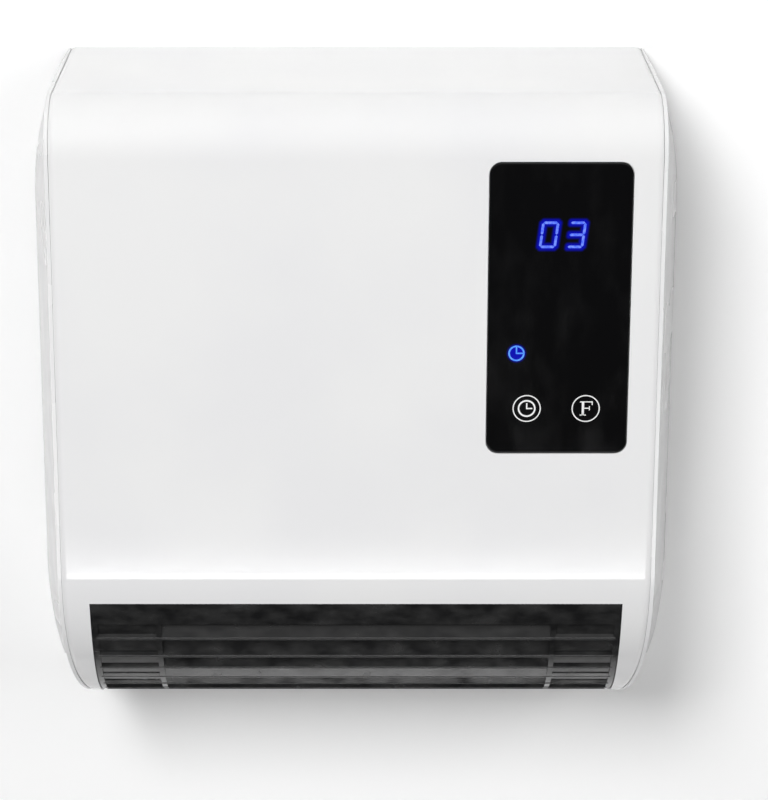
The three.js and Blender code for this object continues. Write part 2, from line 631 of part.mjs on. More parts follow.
function grommet() {
  const x0 = -DUCT.halfLength - DUCT.plate;
  const x1 = -DUCT.halfLength;
  const profile = [[4.2 + GAP, x0 - 3], [11, x0 - 3], [11, x0 - GAP], [9, x0 - GAP], [9, x1 + GAP],
    [11, x1 + GAP], [11, x1 + 2.4], [4.2 + GAP, x1 + 2.4]];
  const closed = [...profile, profile[0]].map(([r, h]) => new THREE.Vector2(r, h));
  const turned = new THREE.LatheGeometry(closed, 16).rotateZ(-Math.PI / 2);
  return solidFrom(turned);
}

function fanAssembly() {
  const axleBearing = sleeve(4.2, AXLE.radius + GAP, -DUCT.halfLength - DUCT.plate - 3,
    -DUCT.halfLength + 2);
  const shaft = rodX(0, 0, SHAFT.radius, FAN.halfLength - FAN.disc - 1.5, SHAFT.end, 12);
  return group([0, ...fanCentre], [0, 0, 0],
    piece('impeller', impeller(), blackPlastic),
    piece('impeller_axle', impellerAxle(), steel),
    piece('drive_hub', driveHub(), rubber),
    piece('motor_shaft', shaft, steel),
    piece('motor_rotor', motorRotor(), steel),
    piece('axle_bearing', axleBearing, brass),
    piece('bearing_grommet', grommet(), rubber),
    piece('motor_stator', motorStator(), steel),
    piece('motor_coil', motorCoil(), copper),
    piece('motor_bracket_inner', motorBracket(BRACKET_X.inner, -1), steel),
    piece('motor_bracket_outer', motorBracket(BRACKET_X.outer, 1), steel),
    piece('motor_bearing_inner', motorBearing(BRACKET_X.inner), brass),
    piece('motor_bearing_outer', motorBearing(BRACKET_X.outer), brass),
    ...motorScrewPlaces().map(([y, z], i) => piece(`motor_screw_${i + 1}`,
      screwX(y, z, DUCT.halfLength + GAP, BRACKET_X.outer + 1.5 + GAP, 1.6, 3.2), steel)));
}

// ---------------------------------------------------------------- air duct

function ductEnd(side) {
  const front = chinRadius - GRILLE.inset - LOUVRE.depth - 2.2;
  const outline = [
    ...arc(chinCentre, front, 180 + 20, 180 + 72, 8),
    [fanCentre[0], fanCentre[1] - 36],
    [fanCentre[0] + 22, fanCentre[1] - 26],
    [fanCentre[0] + 28, fanCentre[1] - 6],
    [fanCentre[0] + 28, fanCentre[1] + 27],
    [fanCentre[0] - 26, fanCentre[1] + 27],
  ];
  const inner = DUCT.halfLength;
  const outer = DUCT.halfLength + DUCT.plate;
  const span = side < 0 ? [-outer, -inner] : [inner, outer];
  const plate = alongX(outline, ...span);
  const ear = box(side < 0 ? [-DUCT_FOOT.x - 5, -inner - 0.5] : [inner + 0.5, DUCT_FOOT.x + 5],
    [DUCT_FOOT.y - GAP - 2, DUCT_FOOT.y - GAP], [DUCT_FOOT.z - 5, DUCT_FOOT.z + 5]);
  const earWeb = box(span, [fanCentre[0], DUCT_FOOT.y - GAP], [DUCT_FOOT.z - 5, DUCT_FOOT.z + 8]);
  const screwHole = rodY(side * DUCT_FOOT.x, DUCT_FOOT.z, 2, DUCT_FOOT.y - 4, DUCT_FOOT.y + 1, 8);
  const holes = side < 0
    ? [rodX(...fanCentre, 9 + GAP, -outer - 1, -inner + 1, 16)]
    : [rodX(...fanCentre, 11, inner - 1, outer + 1, 16),
      ...motorScrewPlaces().map(([y, z]) =>
        rodX(fanCentre[0] + y, fanCentre[1] + z, 1.9, inner - 1, outer + 1, 8))];
  return cut(join(plate, ear, earWeb), screwHole, ...holes);
}

// A point beside the heating bank: `along` the flow and `across` it, from the bank's centre.
function bankPoint(along, across) {
  return [
    elementCentre[0] + flow[0] * along - flow[1] * across,
    elementCentre[1] + flow[1] * along + flow[0] * across,
  ];
}

function scrollWall() {
  const from = 50;
  const to = -95;
  const line = [];
  const steps = 12;
  const wallStart = FAN.radius + 1.7;
  const wallEnd = 35.6;
  for (let i = 0; i <= steps; i += 1) {
    const part = i / steps;
    const radius = wallStart + (wallEnd - wallStart) * part ** 1.5;
    const angle = THREE.MathUtils.degToRad(from + (to - from) * part);
    line.push([fanCentre[0] + radius * Math.cos(angle), fanCentre[1] + radius * Math.sin(angle)]);
  }
  line.push(bankPoint(ELEMENT.thick / 2 + 1, ELEMENT.halfBank + 1.6));
  return alongX(sheetOutline(line, DUCT.sheet), -DUCT.halfLength + GAP, DUCT.halfLength - GAP);
}

// The tongue runs up beside the heating bank, then leans back over the fan.
const tongueLine = [
  bankPoint(ELEMENT.thick / 2 + 1, -ELEMENT.halfBank - 1.6),
  bankPoint(-ELEMENT.thick / 2 - 2, -ELEMENT.halfBank - 1.6),
  [fanCentre[0] - 26, fanCentre[1] + 13],
  [fanCentre[0] - 23, fanCentre[1] + 11],
  [fanCentre[0] - 24.5, fanCentre[1] + 6],
];

function ductTongue() {
  return alongX(sheetOutline(tongueLine, DUCT.sheet), -DUCT.halfLength + GAP,
    DUCT.halfLength - GAP);
}

function ductAssembly() {
  return [
    piece('duct_end_left', ductEnd(-1), greyPlastic),
    piece('duct_end_right', ductEnd(1), greyPlastic),
    piece('scroll_wall', scrollWall(), aluminium),
    piece('duct_tongue', ductTongue(), aluminium),
    ...[-1, 1].map((side) => piece(side < 0 ? 'duct_screw_left' : 'duct_screw_right',
      join(
        rodY(side * DUCT_FOOT.x, DUCT_FOOT.z, 1.4, DUCT_FOOT.y - 3, DUCT_FOOT.y + 8, 8),
        rodY(side * DUCT_FOOT.x, DUCT_FOOT.z, 3, DUCT_FOOT.y - 4.6, DUCT_FOOT.y - 2 - 2 * GAP, 10)),
      steel)),
  ];
}

// ---------------------------------------------------------------- heating elements

// Built flat: X along the element, Y along the air flow, Z across it. Fins stand on both
// sides of the flat tube that holds the heating stones.
function heatingElement(z) {
  const half = 72.5;
  const fins = 18;
  const pitch = (2 * half - 8) / fins;
  const finThick = 1;
  const tube = 2.4;
  const tip = ELEMENT.halfBank / 2 - 0.5;
  const edge = (sign) => {
    const points = [];
    for (let i = 0; i <= fins; i += 1) {
      const x = sign * (-half + 4 + i * pitch);
      const step = (sign * finThick) / 2;
      points.push([x - step, z + sign * tube], [x - step, z + sign * tip],
        [x + step, z + sign * tip], [x + step, z + sign * tube]);
    }
    return points;
  };
  const outline = [
    [-half, z + tube], ...edge(1), [half, z + tube],
    [half, z - tube], ...edge(-1), [-half, z - tube],
  ];
  return alongY(outline, -ELEMENT.thick / 2, ELEMENT.thick / 2);
}

function elementHolder(side) {
  const x1 = DUCT.halfLength - GAP;
  const x0 = x1 - ELEMENT.holder;
  const half = ELEMENT.halfBank + 0.8;
  const span = side < 0 ? [-x1, -x0] : [x0, x1];
  const block = box(span, [-ELEMENT.thick / 2 - 0.9, ELEMENT.thick / 2 + 0.9], [-half, half]);
  const socket = side < 0 ? [-72.8, -x0 + 1] : [x0 - 1, 72.8];
  const sockets = [-1, 1].map((row) => {
    const z = (row * ELEMENT.halfBank) / 2;
    return box(socket, [-ELEMENT.thick / 2 - GAP, ELEMENT.thick / 2 + GAP], [z - 10.4, z + 10.4]);
  });
  return cut(block, ...sockets);
}

function elementAssembly() {
  const tilt = THREE.MathUtils.degToRad(180 + DUCT.flowAngle);
  return group([0, ...elementCentre], [tilt, 0, 0],
    piece('heating_element_upper', heatingElement(-ELEMENT.halfBank / 2), aluminium),
    piece('heating_element_lower', heatingElement(ELEMENT.halfBank / 2), aluminium),
    piece('element_holder_left', elementHolder(-1), ceramic),
    piece('element_holder_right', elementHolder(1), ceramic));
}

// ---------------------------------------------------------------- safety cut-outs

// Both sit on the outer face of the duct tongue, in the air that a blocked outlet sends back.
function cutouts() {
  const [low, high] = [tongueLine[1], tongueLine[2]];
  const along = new THREE.Vector2(high[0] - low[0], high[1] - low[1]).normalize();
  const outwards = [-along.y, along.x];
  const above = (height) => [
    (low[0] + high[0]) / 2 + outwards[0] * height,
    (low[1] + high[1]) / 2 + outwards[1] * height,
  ];
  const tilt = Math.atan2(-outwards[1], -outwards[0]);
  const discBody = join(
    rodY(0, 0, 7.5, -7.5, 0, 16),
    box([-12, 12], [-1.6, 0], [-4, 4]),
    box([-5.5, -3.5], [-14, -7], [-3, 3]),
    box([3.5, 5.5], [-14, -7], [-3, 3]));
  const fuseBody = join(rodX(0, 0, 2, -5.5, 5.5, 10), rodX(0, 0, 0.6, -11, 11, 6));
  return [
    group([30, ...above(DUCT.sheet + GAP)], [tilt, 0, 0],
      piece('thermal_cutout', discBody, ceramic)),
    group([-20, ...above(DUCT.sheet + GAP + 2)], [tilt, 0, 0],
      piece('thermal_fuse', fuseBody, ceramic)),
  ];
}

// ---------------------------------------------------------------- power board

// Built round the board's middle, front face on Y = 0, parts standing towards the room.
function powerBoard() {
  const board = cut(
    box([-BOARD.width / 2, BOARD.width / 2], [0, BOARD.thick],
      [-BOARD.height / 2, BOARD.height / 2]),
    ...boardScrewPlaces().map(([x, z]) => rodY(x - BOARD.x, z - BOARD.z, 1.8, -1, 3, 8)));
  const relay = (x) => box([x - 8, x + 8], [-15.6 - GAP, -GAP], [-22, -2]);
  const film = box([-30, -12], [-11 - GAP, -GAP], [8, 22]);
  const canister = rodY(2, 15, 6, -18 - GAP, -GAP, 16);
  const plug = box([34, 39], [-9 - GAP, -GAP], [-12, 12]);
  return group([BOARD.x, BOARD.y - BOARD.thick, BOARD.z], [0, 0, 0],
    piece('power_board', board, greenBoard),
    piece('low_heat_relay', relay(-26), blueBox),
    piece('high_heat_relay', relay(-4), blueBox),
    piece('film_capacitor', film, yellowFilm),
    piece('smoothing_capacitor', canister, blackPlastic),
    piece('ribbon_socket', plug, whiteWire));
}

function boardScrews() {
  return boardScrewPlaces().map(([x, z], i) => piece(`board_screw_${i + 1}`,
    join(
      rodY(x, z, 1.3, BOARD.y - 1, BOARD.y + 9, 8),
      rodY(x, z, 3, BOARD.y - BOARD.thick - GAP - 1.8, BOARD.y - BOARD.thick - GAP, 10),
      rodY(x, z, 1.3, BOARD.y - BOARD.thick - 1, BOARD.y, 8)),
    steel));
}

// ---------------------------------------------------------------- cover screws, gland, switch

function coverScrews() {
  return postPlaces().map(([x, z], i) => piece(`cover_screw_${i + 1}`,
    screwY(x, z, SCREW_POST.splitY + SCREW_POST.seat + GAP, 1.8, 16, 3.6, 2.4), steel));
}

function cableGland() {
  const bottom = -HALF_HEIGHT + REAR.foot;
  const top = bottom + REAR.back;
  const { bore, neck, flange } = GLAND;
  const profile = [[bore, bottom - 3], [flange, bottom - 3], [flange, bottom - GAP],
    [neck, bottom - GAP], [neck, top + GAP], [flange - 0.6, top + GAP], [neck, top + 4],
    [bore, top + 4]];
  const closed = [...profile, profile[0]].map(([r, h]) => new THREE.Vector2(r, h));
  const turned = new THREE.LatheGeometry(closed, 16).rotateX(Math.PI / 2);
  return group([GLAND.x, GLAND.y, 0], [0, 0, 0], piece('cable_gland', solidFrom(turned), rubber));
}

// Built round the rocker's pivot, which runs along Y.
function masterSwitch() {
  const pivotZ = -HALF_HEIGHT + 7.5;
  const { halfLength, halfWidth, swing } = SWITCH;
  const below = -HALF_HEIGHT + REAR.foot - pivotZ; // underside of the bottom wall
  const bezelX = halfLength + SWITCH.bezel;
  const bezelY = halfWidth + SWITCH.bezel;
  const bezel = box([-bezelX, bezelX], [-bezelY, bezelY], [below - 1.3, below - GAP]);
  const bodyBox = box([-halfLength, halfLength], [-halfWidth, halfWidth], [below - 1, 14]);
  const pocket = box([-8.5, 8.5], [-5.2, 5.2], [below - 3, 3.2]);
  const tabs = [-5, 5].map((x) => box([x - 0.4, x + 0.4], [-3, 3], [13, 20]));
  const body = cut(join(bezel, bodyBox, ...tabs), pocket);
  const rocker = alongY([[-7.2, -4.6], [0, -3.4], [7.2, -4.6], [7.2, -1.5], [3, 2], [-3, 2],
    [-7.2, -1.5]], -4.8, 4.8);
  const button = piece('switch_rocker', rocker, blackPlastic);
  button.rotation.y = THREE.MathUtils.degToRad(swing);
  return group([SWITCH.x, SWITCH.y, pivotZ], [0, 0, 0],
    piece('switch_body', body, blackPlastic), button);
}

// ---------------------------------------------------------------- terminals and wiring

function terminalBlock() {
  const x = 88;
  const z = 26;
  const back = -REAR.back - GAP;
  const block = box([x - 11, x + 11], [back - 15, back], [z - 17, z + 17]);
  const wells = [-11, 0, 11].map((step) => rodY(x, z + step, 3, back - 16, back - 9, 10));
  return cut(block, ...wells);
}

function tube(points, radius, material, name, sides = 6, steps = 16) {
  const curve = new THREE.CatmullRomCurve3(points.map((point) => new THREE.Vector3(...point)));
  const section = new THREE.Shape(
    circle([0, 0], radius, sides).map(([u, v]) => new THREE.Vector2(u, v)));
  const geometry = new THREE.ExtrudeGeometry(section, { steps, extrudePath: curve });
  return piece(name, solidFrom(geometry), material);
}

function wiring() {
  const ribbonPoints = [[-14, -32.6, 82], [-12, -48, 82], [4, -66, 78], [30, -74, 66],
    [52, -80, 56], [62, -86, 52], [64, -89, 52]];
  return [
    tube(ribbonPoints, 1.6, whiteWire, 'display_cable', 6, 20),
    tube([[-70, -24, 48], [-82, -34, 30], [-90, -48, 0], [-92, -58, -40], [-88, -62, -70],
      [-84, -64, -84]], 1.5, redWire, 'heater_lead'),
    tube([[-30, -26, 48], [0, -30, 34], [50, -34, 14], [84, -38, 2], [92, -40, -14],
      [93, -40.4, -19]], 1.5, whiteWire, 'motor_lead'),
  ];
}

// ---------------------------------------------------------------- the whole heater

const heater = new THREE.Group();
heater.name = 'wall_fan_heater';
heater.add(
  piece('front_cover', frontCover(), white),
  piece('rear_housing', rearHousing(), white),
  piece('outlet_grille', outletGrille(), blackPlastic),
  controlPanel(),
  fanAssembly(),
  ...ductAssembly(),
  elementAssembly(),
  ...cutouts(),
  powerBoard(),
  ...boardScrews(),
  ...coverScrews(),
  cableGland(),
  masterSwitch(),
  piece('terminal_block', terminalBlock(), greyPlastic),
  ...wiring(),
);

export default heater;
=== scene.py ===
# %% [markdown]
# # A bathroom wall fan heater
# The heater hangs on a white wall: a gloss white cover with a quarter-round top and a chin
# that curves back to the wall, a white rear housing that flares out behind it, a black
# louvred outlet across the chin, and a black touch panel with blue digits. The working parts
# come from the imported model, and the surfaces that show are rebuilt here with fine curves
# and then given their finishes. Lengths are metres. X runs to the right, Y into the wall.

from math import copysign, cos, pi, radians, sin, sqrt

import bmesh
import bpy
from mathutils import Matrix, Vector


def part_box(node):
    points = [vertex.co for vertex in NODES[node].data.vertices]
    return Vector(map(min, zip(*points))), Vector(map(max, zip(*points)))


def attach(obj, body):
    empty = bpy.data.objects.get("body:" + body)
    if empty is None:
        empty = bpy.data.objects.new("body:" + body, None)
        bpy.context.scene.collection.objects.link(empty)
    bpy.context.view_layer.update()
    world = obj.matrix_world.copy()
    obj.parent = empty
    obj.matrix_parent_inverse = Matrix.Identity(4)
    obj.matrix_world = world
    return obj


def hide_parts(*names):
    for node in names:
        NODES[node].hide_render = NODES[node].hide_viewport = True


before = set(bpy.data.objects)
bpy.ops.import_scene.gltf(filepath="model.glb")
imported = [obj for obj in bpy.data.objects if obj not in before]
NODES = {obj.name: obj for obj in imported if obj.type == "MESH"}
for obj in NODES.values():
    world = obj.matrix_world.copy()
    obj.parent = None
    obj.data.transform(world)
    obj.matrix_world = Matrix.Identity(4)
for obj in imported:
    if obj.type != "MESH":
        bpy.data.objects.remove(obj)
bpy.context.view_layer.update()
MM = 0.001
SAME_POINT, TOUCHING = 1e-6, 1e-7

# %% [markdown]
# ## Small helpers
# Nearly every shape below is a closed solid that starts from a box, a rod or a profile.
# A profile is a chain of vertices: `reach` adds a straight edge and `turn` sweeps a vertex
# round a centre, so that an arc needs a radius and an angle and no list of points.

# %% Helpers for chains and solids
X_AXIS, Y_AXIS, Z_AXIS = Vector((1, 0, 0)), Vector((0, 1, 0)), Vector((0, 0, 1))


def verts_in(geometry):
    """The vertices among the parts that a bmesh operator returns."""
    return [part for part in geometry if isinstance(part, bmesh.types.BMVert)]


def everything(bm):
    """All vertices, edges and faces, for the operators that take any geometry."""
    return bm.verts[:] + bm.edges[:] + bm.faces[:]


def reach(bm, vert, place):
    """Joins a vertex to a new one at `place` with a straight edge."""
    made = bmesh.ops.extrude_vert_indiv(bm, verts=[vert])["verts"][0]
    made.co = place
    return made


def turn(bm, vert, centre, degrees, steps):
    """Sweeps a vertex round a centre, leaves an arc of edges and returns its end."""
    swept = bmesh.ops.spin(
        bm, geom=[vert], cent=centre, axis=X_AXIS, angle=radians(degrees), steps=steps)
    return verts_in(swept["geom_last"])[0]


def add_box(bm, low, high, round_edges=None, radius=0.0, steps=10):
    """A box between two corners. `round_edges` names the axis whose four edges are rounded."""
    low, high = Vector(low), Vector(high)
    size = high - low
    place = Matrix.Translation((low + high) / 2) @ Matrix.Diagonal((*size, 1))
    verts = bmesh.ops.create_cube(bm, size=1, matrix=place)["verts"]
    if round_edges:
        edges = {e for v in verts for e in v.link_edges}
        along = [e for e in edges
                 if abs((e.verts[0].co - e.verts[1].co).normalized().dot(round_edges)) > 0.99]
        bevelled = bmesh.ops.bevel(bm, geom=along, offset=radius, segments=steps, profile=0.5,
                                   affect="EDGES", material=-1)
        verts = list({v for f in bevelled["faces"] for v in f.verts})
    return verts


def add_rod(bm, centre, axis, radius, length, sides=32):
    """A rod with flat ends, from `centre` along `axis`."""
    middle = Vector(centre) + Vector(axis) * length / 2
    turned = Z_AXIS.rotation_difference(Vector(axis)).to_matrix().to_4x4()
    place = Matrix.Translation(middle) @ turned
    return bmesh.ops.create_cone(bm, cap_ends=True, segments=sides, radius1=radius,
                                 radius2=radius, depth=length, matrix=place)["verts"]


def solid(bm, name):
    """Turns a bmesh into an object at the origin, with its faces pointing out."""
    bmesh.ops.recalc_face_normals(bm, faces=bm.faces)
    mesh = bpy.data.meshes.new(name)
    bm.to_mesh(mesh)
    bm.free()
    made = bpy.data.objects.new(name, mesh)
    bpy.context.scene.collection.objects.link(made)
    return made


def settle(piece):
    """Applies every modifier of a piece to its mesh."""
    bpy.context.view_layer.update()
    graph = bpy.context.evaluated_depsgraph_get()
    applied = bpy.data.meshes.new_from_object(piece.evaluated_get(graph))
    piece.modifiers.clear()
    piece.data = applied


def carve(piece, tool, operation="DIFFERENCE"):
    """Cuts a closed tool out of a piece, or joins it on, and removes the tool."""
    boolean = piece.modifiers.new("carve", "BOOLEAN")
    boolean.operation = operation
    boolean.solver = "EXACT"
    boolean.object = tool
    settle(piece)
    bpy.data.objects.remove(tool)


def shade(piece, crease=None):
    """Shades a piece smoothly with flat faces kept flat, and edges past `crease` degrees sharp."""
    piece.data.shade_smooth()
    if crease:
        piece.data.set_sharp_from_angle(angle=radians(crease))
    weighted = piece.modifiers.new("flat_faces_stay_flat", "WEIGHTED_NORMAL")
    weighted.weight = 60
    weighted.keep_sharp = True
    settle(piece)
    print(f"{piece.name}: {len(piece.data.polygons)} faces")


def soften(piece, width):
    """Rounds the hard edges of a piece a little, as a mould does, and shades it."""
    rounding = piece.modifiers.new("moulded_edge", "BEVEL")
    rounding.width = width
    rounding.segments = 2
    rounding.limit_method = "ANGLE"
    rounding.angle_limit = radians(35)
    rounding.use_clamp_overlap = True
    settle(piece)
    shade(piece)


def fit(piece, material, slot, body, *nodes):
    """Gives a piece its finish and its body, and hides the frame nodes that it stands for."""
    piece.data.materials.clear()
    piece.data.materials.append(material)
    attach(piece, body)
    if nodes:
        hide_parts(*nodes)


# %% [markdown]
# ## Finishes
# Each finish is a Principled shader whose colour, roughness and relief come from noise in
# Object coordinates, so that the grain has a real size in millimetres and stays on the piece
# when it moves. `add` is the one function that places a node. Nearly all noise lies between
# 0.3 and 0.7, so that is the span that a roughness is spread over.

# %% Helpers for finishes
NOISE_SPAN = {"From Min": 0.3, "From Max": 0.7}


def linear(code):
    """An sRGB hex colour as the linear colour that shaders use."""
    channels = [int(code[i:i + 2], 16) / 255 for i in (1, 3, 5)]
    return [*(c / 12.92 if c <= 0.04045 else ((c + 0.055) / 1.055) ** 2.4 for c in channels), 1]


def add(tree, kind, settings=None, links=None):
    """Adds a node, sets its values by name or socket number and links its inputs."""
    made = tree.nodes.new(kind)
    for name, value in (settings or {}).items():
        if isinstance(name, int) or name in made.inputs:
            made.inputs[name].default_value = value
        else:
            setattr(made, name, value)
    for name, source in (links or {}).items():
        tree.links.new(source, made.inputs[name])
    return made


def grain(tree, size, detail=3.0, stretch=(1, 1, 1)):
    """Noise in Object coordinates whose patches measure about `size` metres."""
    place = add(tree, "ShaderNodeTexCoord").outputs["Object"]
    pulled = add(tree, "ShaderNodeMapping", {"Scale": stretch}, {"Vector": place})
    noise = add(tree, "ShaderNodeTexNoise", {"Scale": 1 / size, "Detail": detail},
                {"Vector": pulled.outputs[0]})
    return noise.outputs["Fac"]


def blend_colour(tree, factor, low, high, start=0.35, end=0.65):
    """Turns a factor into a colour between two hex colours."""
    ramp = add(tree, "ShaderNodeValToRGB", links={"Fac": factor})
    for stop, place, code in zip(ramp.color_ramp.elements, (start, end), (low, high)):
        stop.position = place
        stop.color = linear(code)
    return ramp.outputs["Color"]


def new_finish(name, **sockets):
    """A material with a Principled shader, and that shader and its tree."""
    material = bpy.data.materials.new(name)
    material.use_nodes = True
    tree = material.node_tree
    shader = tree.nodes["Principled BSDF"]
    for socket, value in sockets.items():
        shader.inputs[socket.replace("_", " ")].default_value = value
    return material, tree, shader


def moulded(name, low, high, patch, rough, fine, depth, stretch=(1, 1, 1), **sockets):
    """A finish with cloudy colour and roughness patches and a fine relief."""
    material, tree, shader = new_finish(name, **sockets)
    clouds = grain(tree, patch, 2.0, stretch)
    tree.links.new(blend_colour(tree, clouds, low, high), shader.inputs["Base Color"])
    uneven = add(tree, "ShaderNodeMapRange", NOISE_SPAN | {"To Min": rough[0], "To Max": rough[1]},
                 {"Value": clouds})
    tree.links.new(uneven.outputs["Result"], shader.inputs["Roughness"])
    relief = add(tree, "ShaderNodeBump", {"Strength": 1, "Distance": depth},
                 {"Height": grain(tree, fine, 4.0, stretch)})
    tree.links.new(relief.outputs["Normal"], shader.inputs["Normal"])
    return material


# %% [markdown]
# ## Camera
# The photo is taken with a long lens from a little above the heater. The camera stands
# 1.13 m from the front face and looks 18 degrees down. The picture is 768 x 800 pixels, and
# the heater stands 28 pixels left of its middle, which is what the shift does.

# %% Camera
PICTURE_WIDTH, PICTURE_HEIGHT = 768, 800
SENSOR = 36.0
LENS = 135.0
PITCH = 18.07
DISTANCE = 1.128
AIM = Vector((0, -0.104, 0.0165))
OFF_MIDDLE = 28

camera_data = bpy.data.cameras.new("camera")
camera_data.lens = LENS
camera_data.sensor_width = SENSOR
camera_data.shift_x = OFF_MIDDLE / max(PICTURE_WIDTH, PICTURE_HEIGHT)
camera = bpy.data.objects.new("camera", camera_data)
camera.rotation_euler = (radians(90 - PITCH), 0, 0)
camera.location = AIM + DISTANCE * Vector((0, -cos(radians(PITCH)), sin(radians(PITCH))))
bpy.context.scene.collection.objects.link(camera)
bpy.context.scene.camera = camera
bpy.context.scene.view_settings.view_transform = "Standard"
print(f"camera {DISTANCE:.3f} m from the front, {PITCH:.1f} degrees above it")

# %% [markdown]
# ## Light
# One soft box stands high on the left and throws the soft shadow to the right and below. Two
# weaker ones, on the right and in front, lift the shadow. None of the three shows in
# reflections. A low strip in front does: it makes the white line where the front starts to
# turn under. The room gives the rest. As a mirror image it is pale above and dark below, so
# that the black panel stays black, and as plain light it is faint, with a little more from
# below. A lamp behind the wall is there for views of the back only.

# %% Lamps and room light
LIT_PLACE = Vector((0, -0.08, 0))


def lamp(name, azimuth, elevation, distance, size, watts):
    """An area lamp that looks at the heater. Azimuth 0 is straight in front, 90 to the right."""
    a, e = radians(azimuth), radians(elevation)
    away = Vector((sin(a) * cos(e), -cos(a) * cos(e), sin(e)))
    data = bpy.data.lights.new(name, "AREA")
    data.shape = "RECTANGLE"
    data.size, data.size_y = size
    data.energy = watts
    made = bpy.data.objects.new(name, data)
    made.location = LIT_PLACE + away * distance
    made.rotation_euler = away.to_track_quat("Z", "Y").to_euler()
    made.visible_camera = False
    bpy.context.scene.collection.objects.link(made)
    return made


unmirrored = [
    lamp("soft_box", azimuth=-18.5, elevation=33, distance=2.4, size=(0.76, 1.0), watts=43.5),
    lamp("fill_right", azimuth=45, elevation=20, distance=2.4, size=(0.9, 1.4), watts=15),
    lamp("fill_front", azimuth=-10, elevation=5, distance=2.6, size=(1.6, 0.9), watts=0.5),
]
for soft in unmirrored:
    soft.visible_glossy = False
lamp("low_strip", azimuth=0, elevation=-27.2, distance=1.6, size=(0.78, 0.26), watts=4.0)
lamp("back_lamp", azimuth=160, elevation=30, distance=2.4, size=(1.2, 1.2), watts=30)

# Room brightness below and above, and the two heights of a direction between which it changes.
PLAIN_ROOM = {"To Min": 0.25, "To Max": 0.04, "From Min": -0.12, "From Max": 0.1}
MIRRORED_ROOM = {"To Min": 0.07, "To Max": 0.9, "From Min": 0.1, "From Max": 0.95}
world = bpy.data.worlds.new("room")
world.use_nodes = True
bpy.context.scene.world = world
room = world.node_tree
direction = add(room, "ShaderNodeSeparateXYZ", links={
    "Vector": add(room, "ShaderNodeTexCoord").outputs["Generated"]}).outputs["Z"]
path = add(room, "ShaderNodeLightPath").outputs
plain, mirrored = [
    add(room, "ShaderNodeMapRange", span, {"Value": direction}).outputs["Result"]
    for span in (PLAIN_ROOM, MIRRORED_ROOM)]
seen = add(room, "ShaderNodeMix", {"data_type": "FLOAT"},
           {"Factor": path["Is Glossy Ray"], 2: plain, 3: mirrored}).outputs[0]
straight = add(room, "ShaderNodeMath", {"operation": "MAXIMUM"},
               {0: path["Is Camera Ray"], 1: path["Is Transmission Ray"]}).outputs[0]
strength = add(room, "ShaderNodeMix", {"data_type": "FLOAT", 3: 1.0},
               {"Factor": straight, 2: seen}).outputs[0]
room.links.new(strength, room.nodes["Background"].inputs["Strength"])
room.nodes["Background"].inputs["Color"].default_value = (1, 1, 1, 1)
print(f"{len(bpy.data.lights)} lamps")

# %% [markdown]
# ## The outline that the cover, the housing and the grille share
# Seen from the side, the front is a quarter round at the top, a flat, a short bend and a
# large round chin. The chin's radius follows from the others: it has to leave the bend
# without a kink and end level at the lower edge.

# %% Side outline
COVER_LOW, COVER_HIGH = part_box("front_cover")
HALF_WIDTH = COVER_HIGH.x
FRONT, TOP, FOOT = COVER_LOW.y, COVER_HIGH.z, COVER_LOW.z
DOME_RADIUS = 21.2 * MM
BEND_Z, BEND_RADIUS, BEND_DEGREES = -53.5 * MM, 30 * MM, 6
CHIN_STEPS = 48
bend_sin, bend_cos = sin(radians(BEND_DEGREES)), cos(radians(BEND_DEGREES))
CHIN_RADIUS = (BEND_Z - FOOT - BEND_RADIUS * bend_sin) / (1 - bend_sin)
DOME_CENTRE = Vector((0, FRONT + DOME_RADIUS, TOP - DOME_RADIUS))
BEND_CENTRE = Vector((0, FRONT + BEND_RADIUS, BEND_Z))
CHIN_CENTRE = BEND_CENTRE + (CHIN_RADIUS - BEND_RADIUS) * Vector((0, bend_cos, bend_sin))
print(f"chin radius {CHIN_RADIUS / MM:.1f} mm "
      f"round {CHIN_CENTRE.y / MM:.1f}, {CHIN_CENTRE.z / MM:.1f}")


def skin_chain(bm, x, inset):
    """The side outline at one x, set in by `inset`, from the wall over the top to the foot."""
    dome_steps, bend_steps, chin_steps = 20, 4, 52
    before = set(bm.edges)
    end = bm.verts.new((x, 0, TOP - inset))
    end = reach(bm, end, (x, DOME_CENTRE.y, TOP - inset))
    end = turn(bm, end, DOME_CENTRE, 90, dome_steps)
    end = reach(bm, end, (x, FRONT + inset, BEND_Z))
    end = turn(bm, end, BEND_CENTRE, BEND_DEGREES, bend_steps)
    turn(bm, end, CHIN_CENTRE, 90 - BEND_DEGREES, chin_steps)
    return [e for e in bm.edges if e not in before]


def chin_point(radius, degrees, x=0.0):
    """A point on the chin, `degrees` below level as seen from the chin's centre."""
    a = radians(degrees)
    return CHIN_CENTRE + Vector((x, -radius * cos(a), -radius * sin(a)))


def add_chin_slab(bm, inner, outer, start, end, x0, x1, steps=40):
    """A slab that follows the chin: a flat face is swept round the chin's centre."""
    corners = [chin_point(inner, start, x0), chin_point(outer, start, x0),
               chin_point(outer, start, x1), chin_point(inner, start, x1)]
    face = bm.faces.new([bm.verts.new(c) for c in corners])
    bmesh.ops.spin(bm, geom=[face, *face.edges, *face.verts], cent=CHIN_CENTRE, axis=X_AXIS,
                   angle=radians(end - start), steps=steps)


# %% [markdown]
# Towards the foot both the cover and the housing's sides draw in a little, which rounds the
# lower corners as seen from the front. `tuck` does that to any set of points: the shift grows
# along the chin, is full near the skin, fades inwards and towards the wall, and leaves the
# outlet alone.

# %% Lower corners drawn in
TUCK_START, TUCK = -50 * MM, 8 * MM
TUCK_FREE, TUCK_FULL = 103 * MM, 112.5 * MM
TUCK_SKIN, TUCK_FADE = 5 * MM, 30 * MM
LEVEL = 1e-9


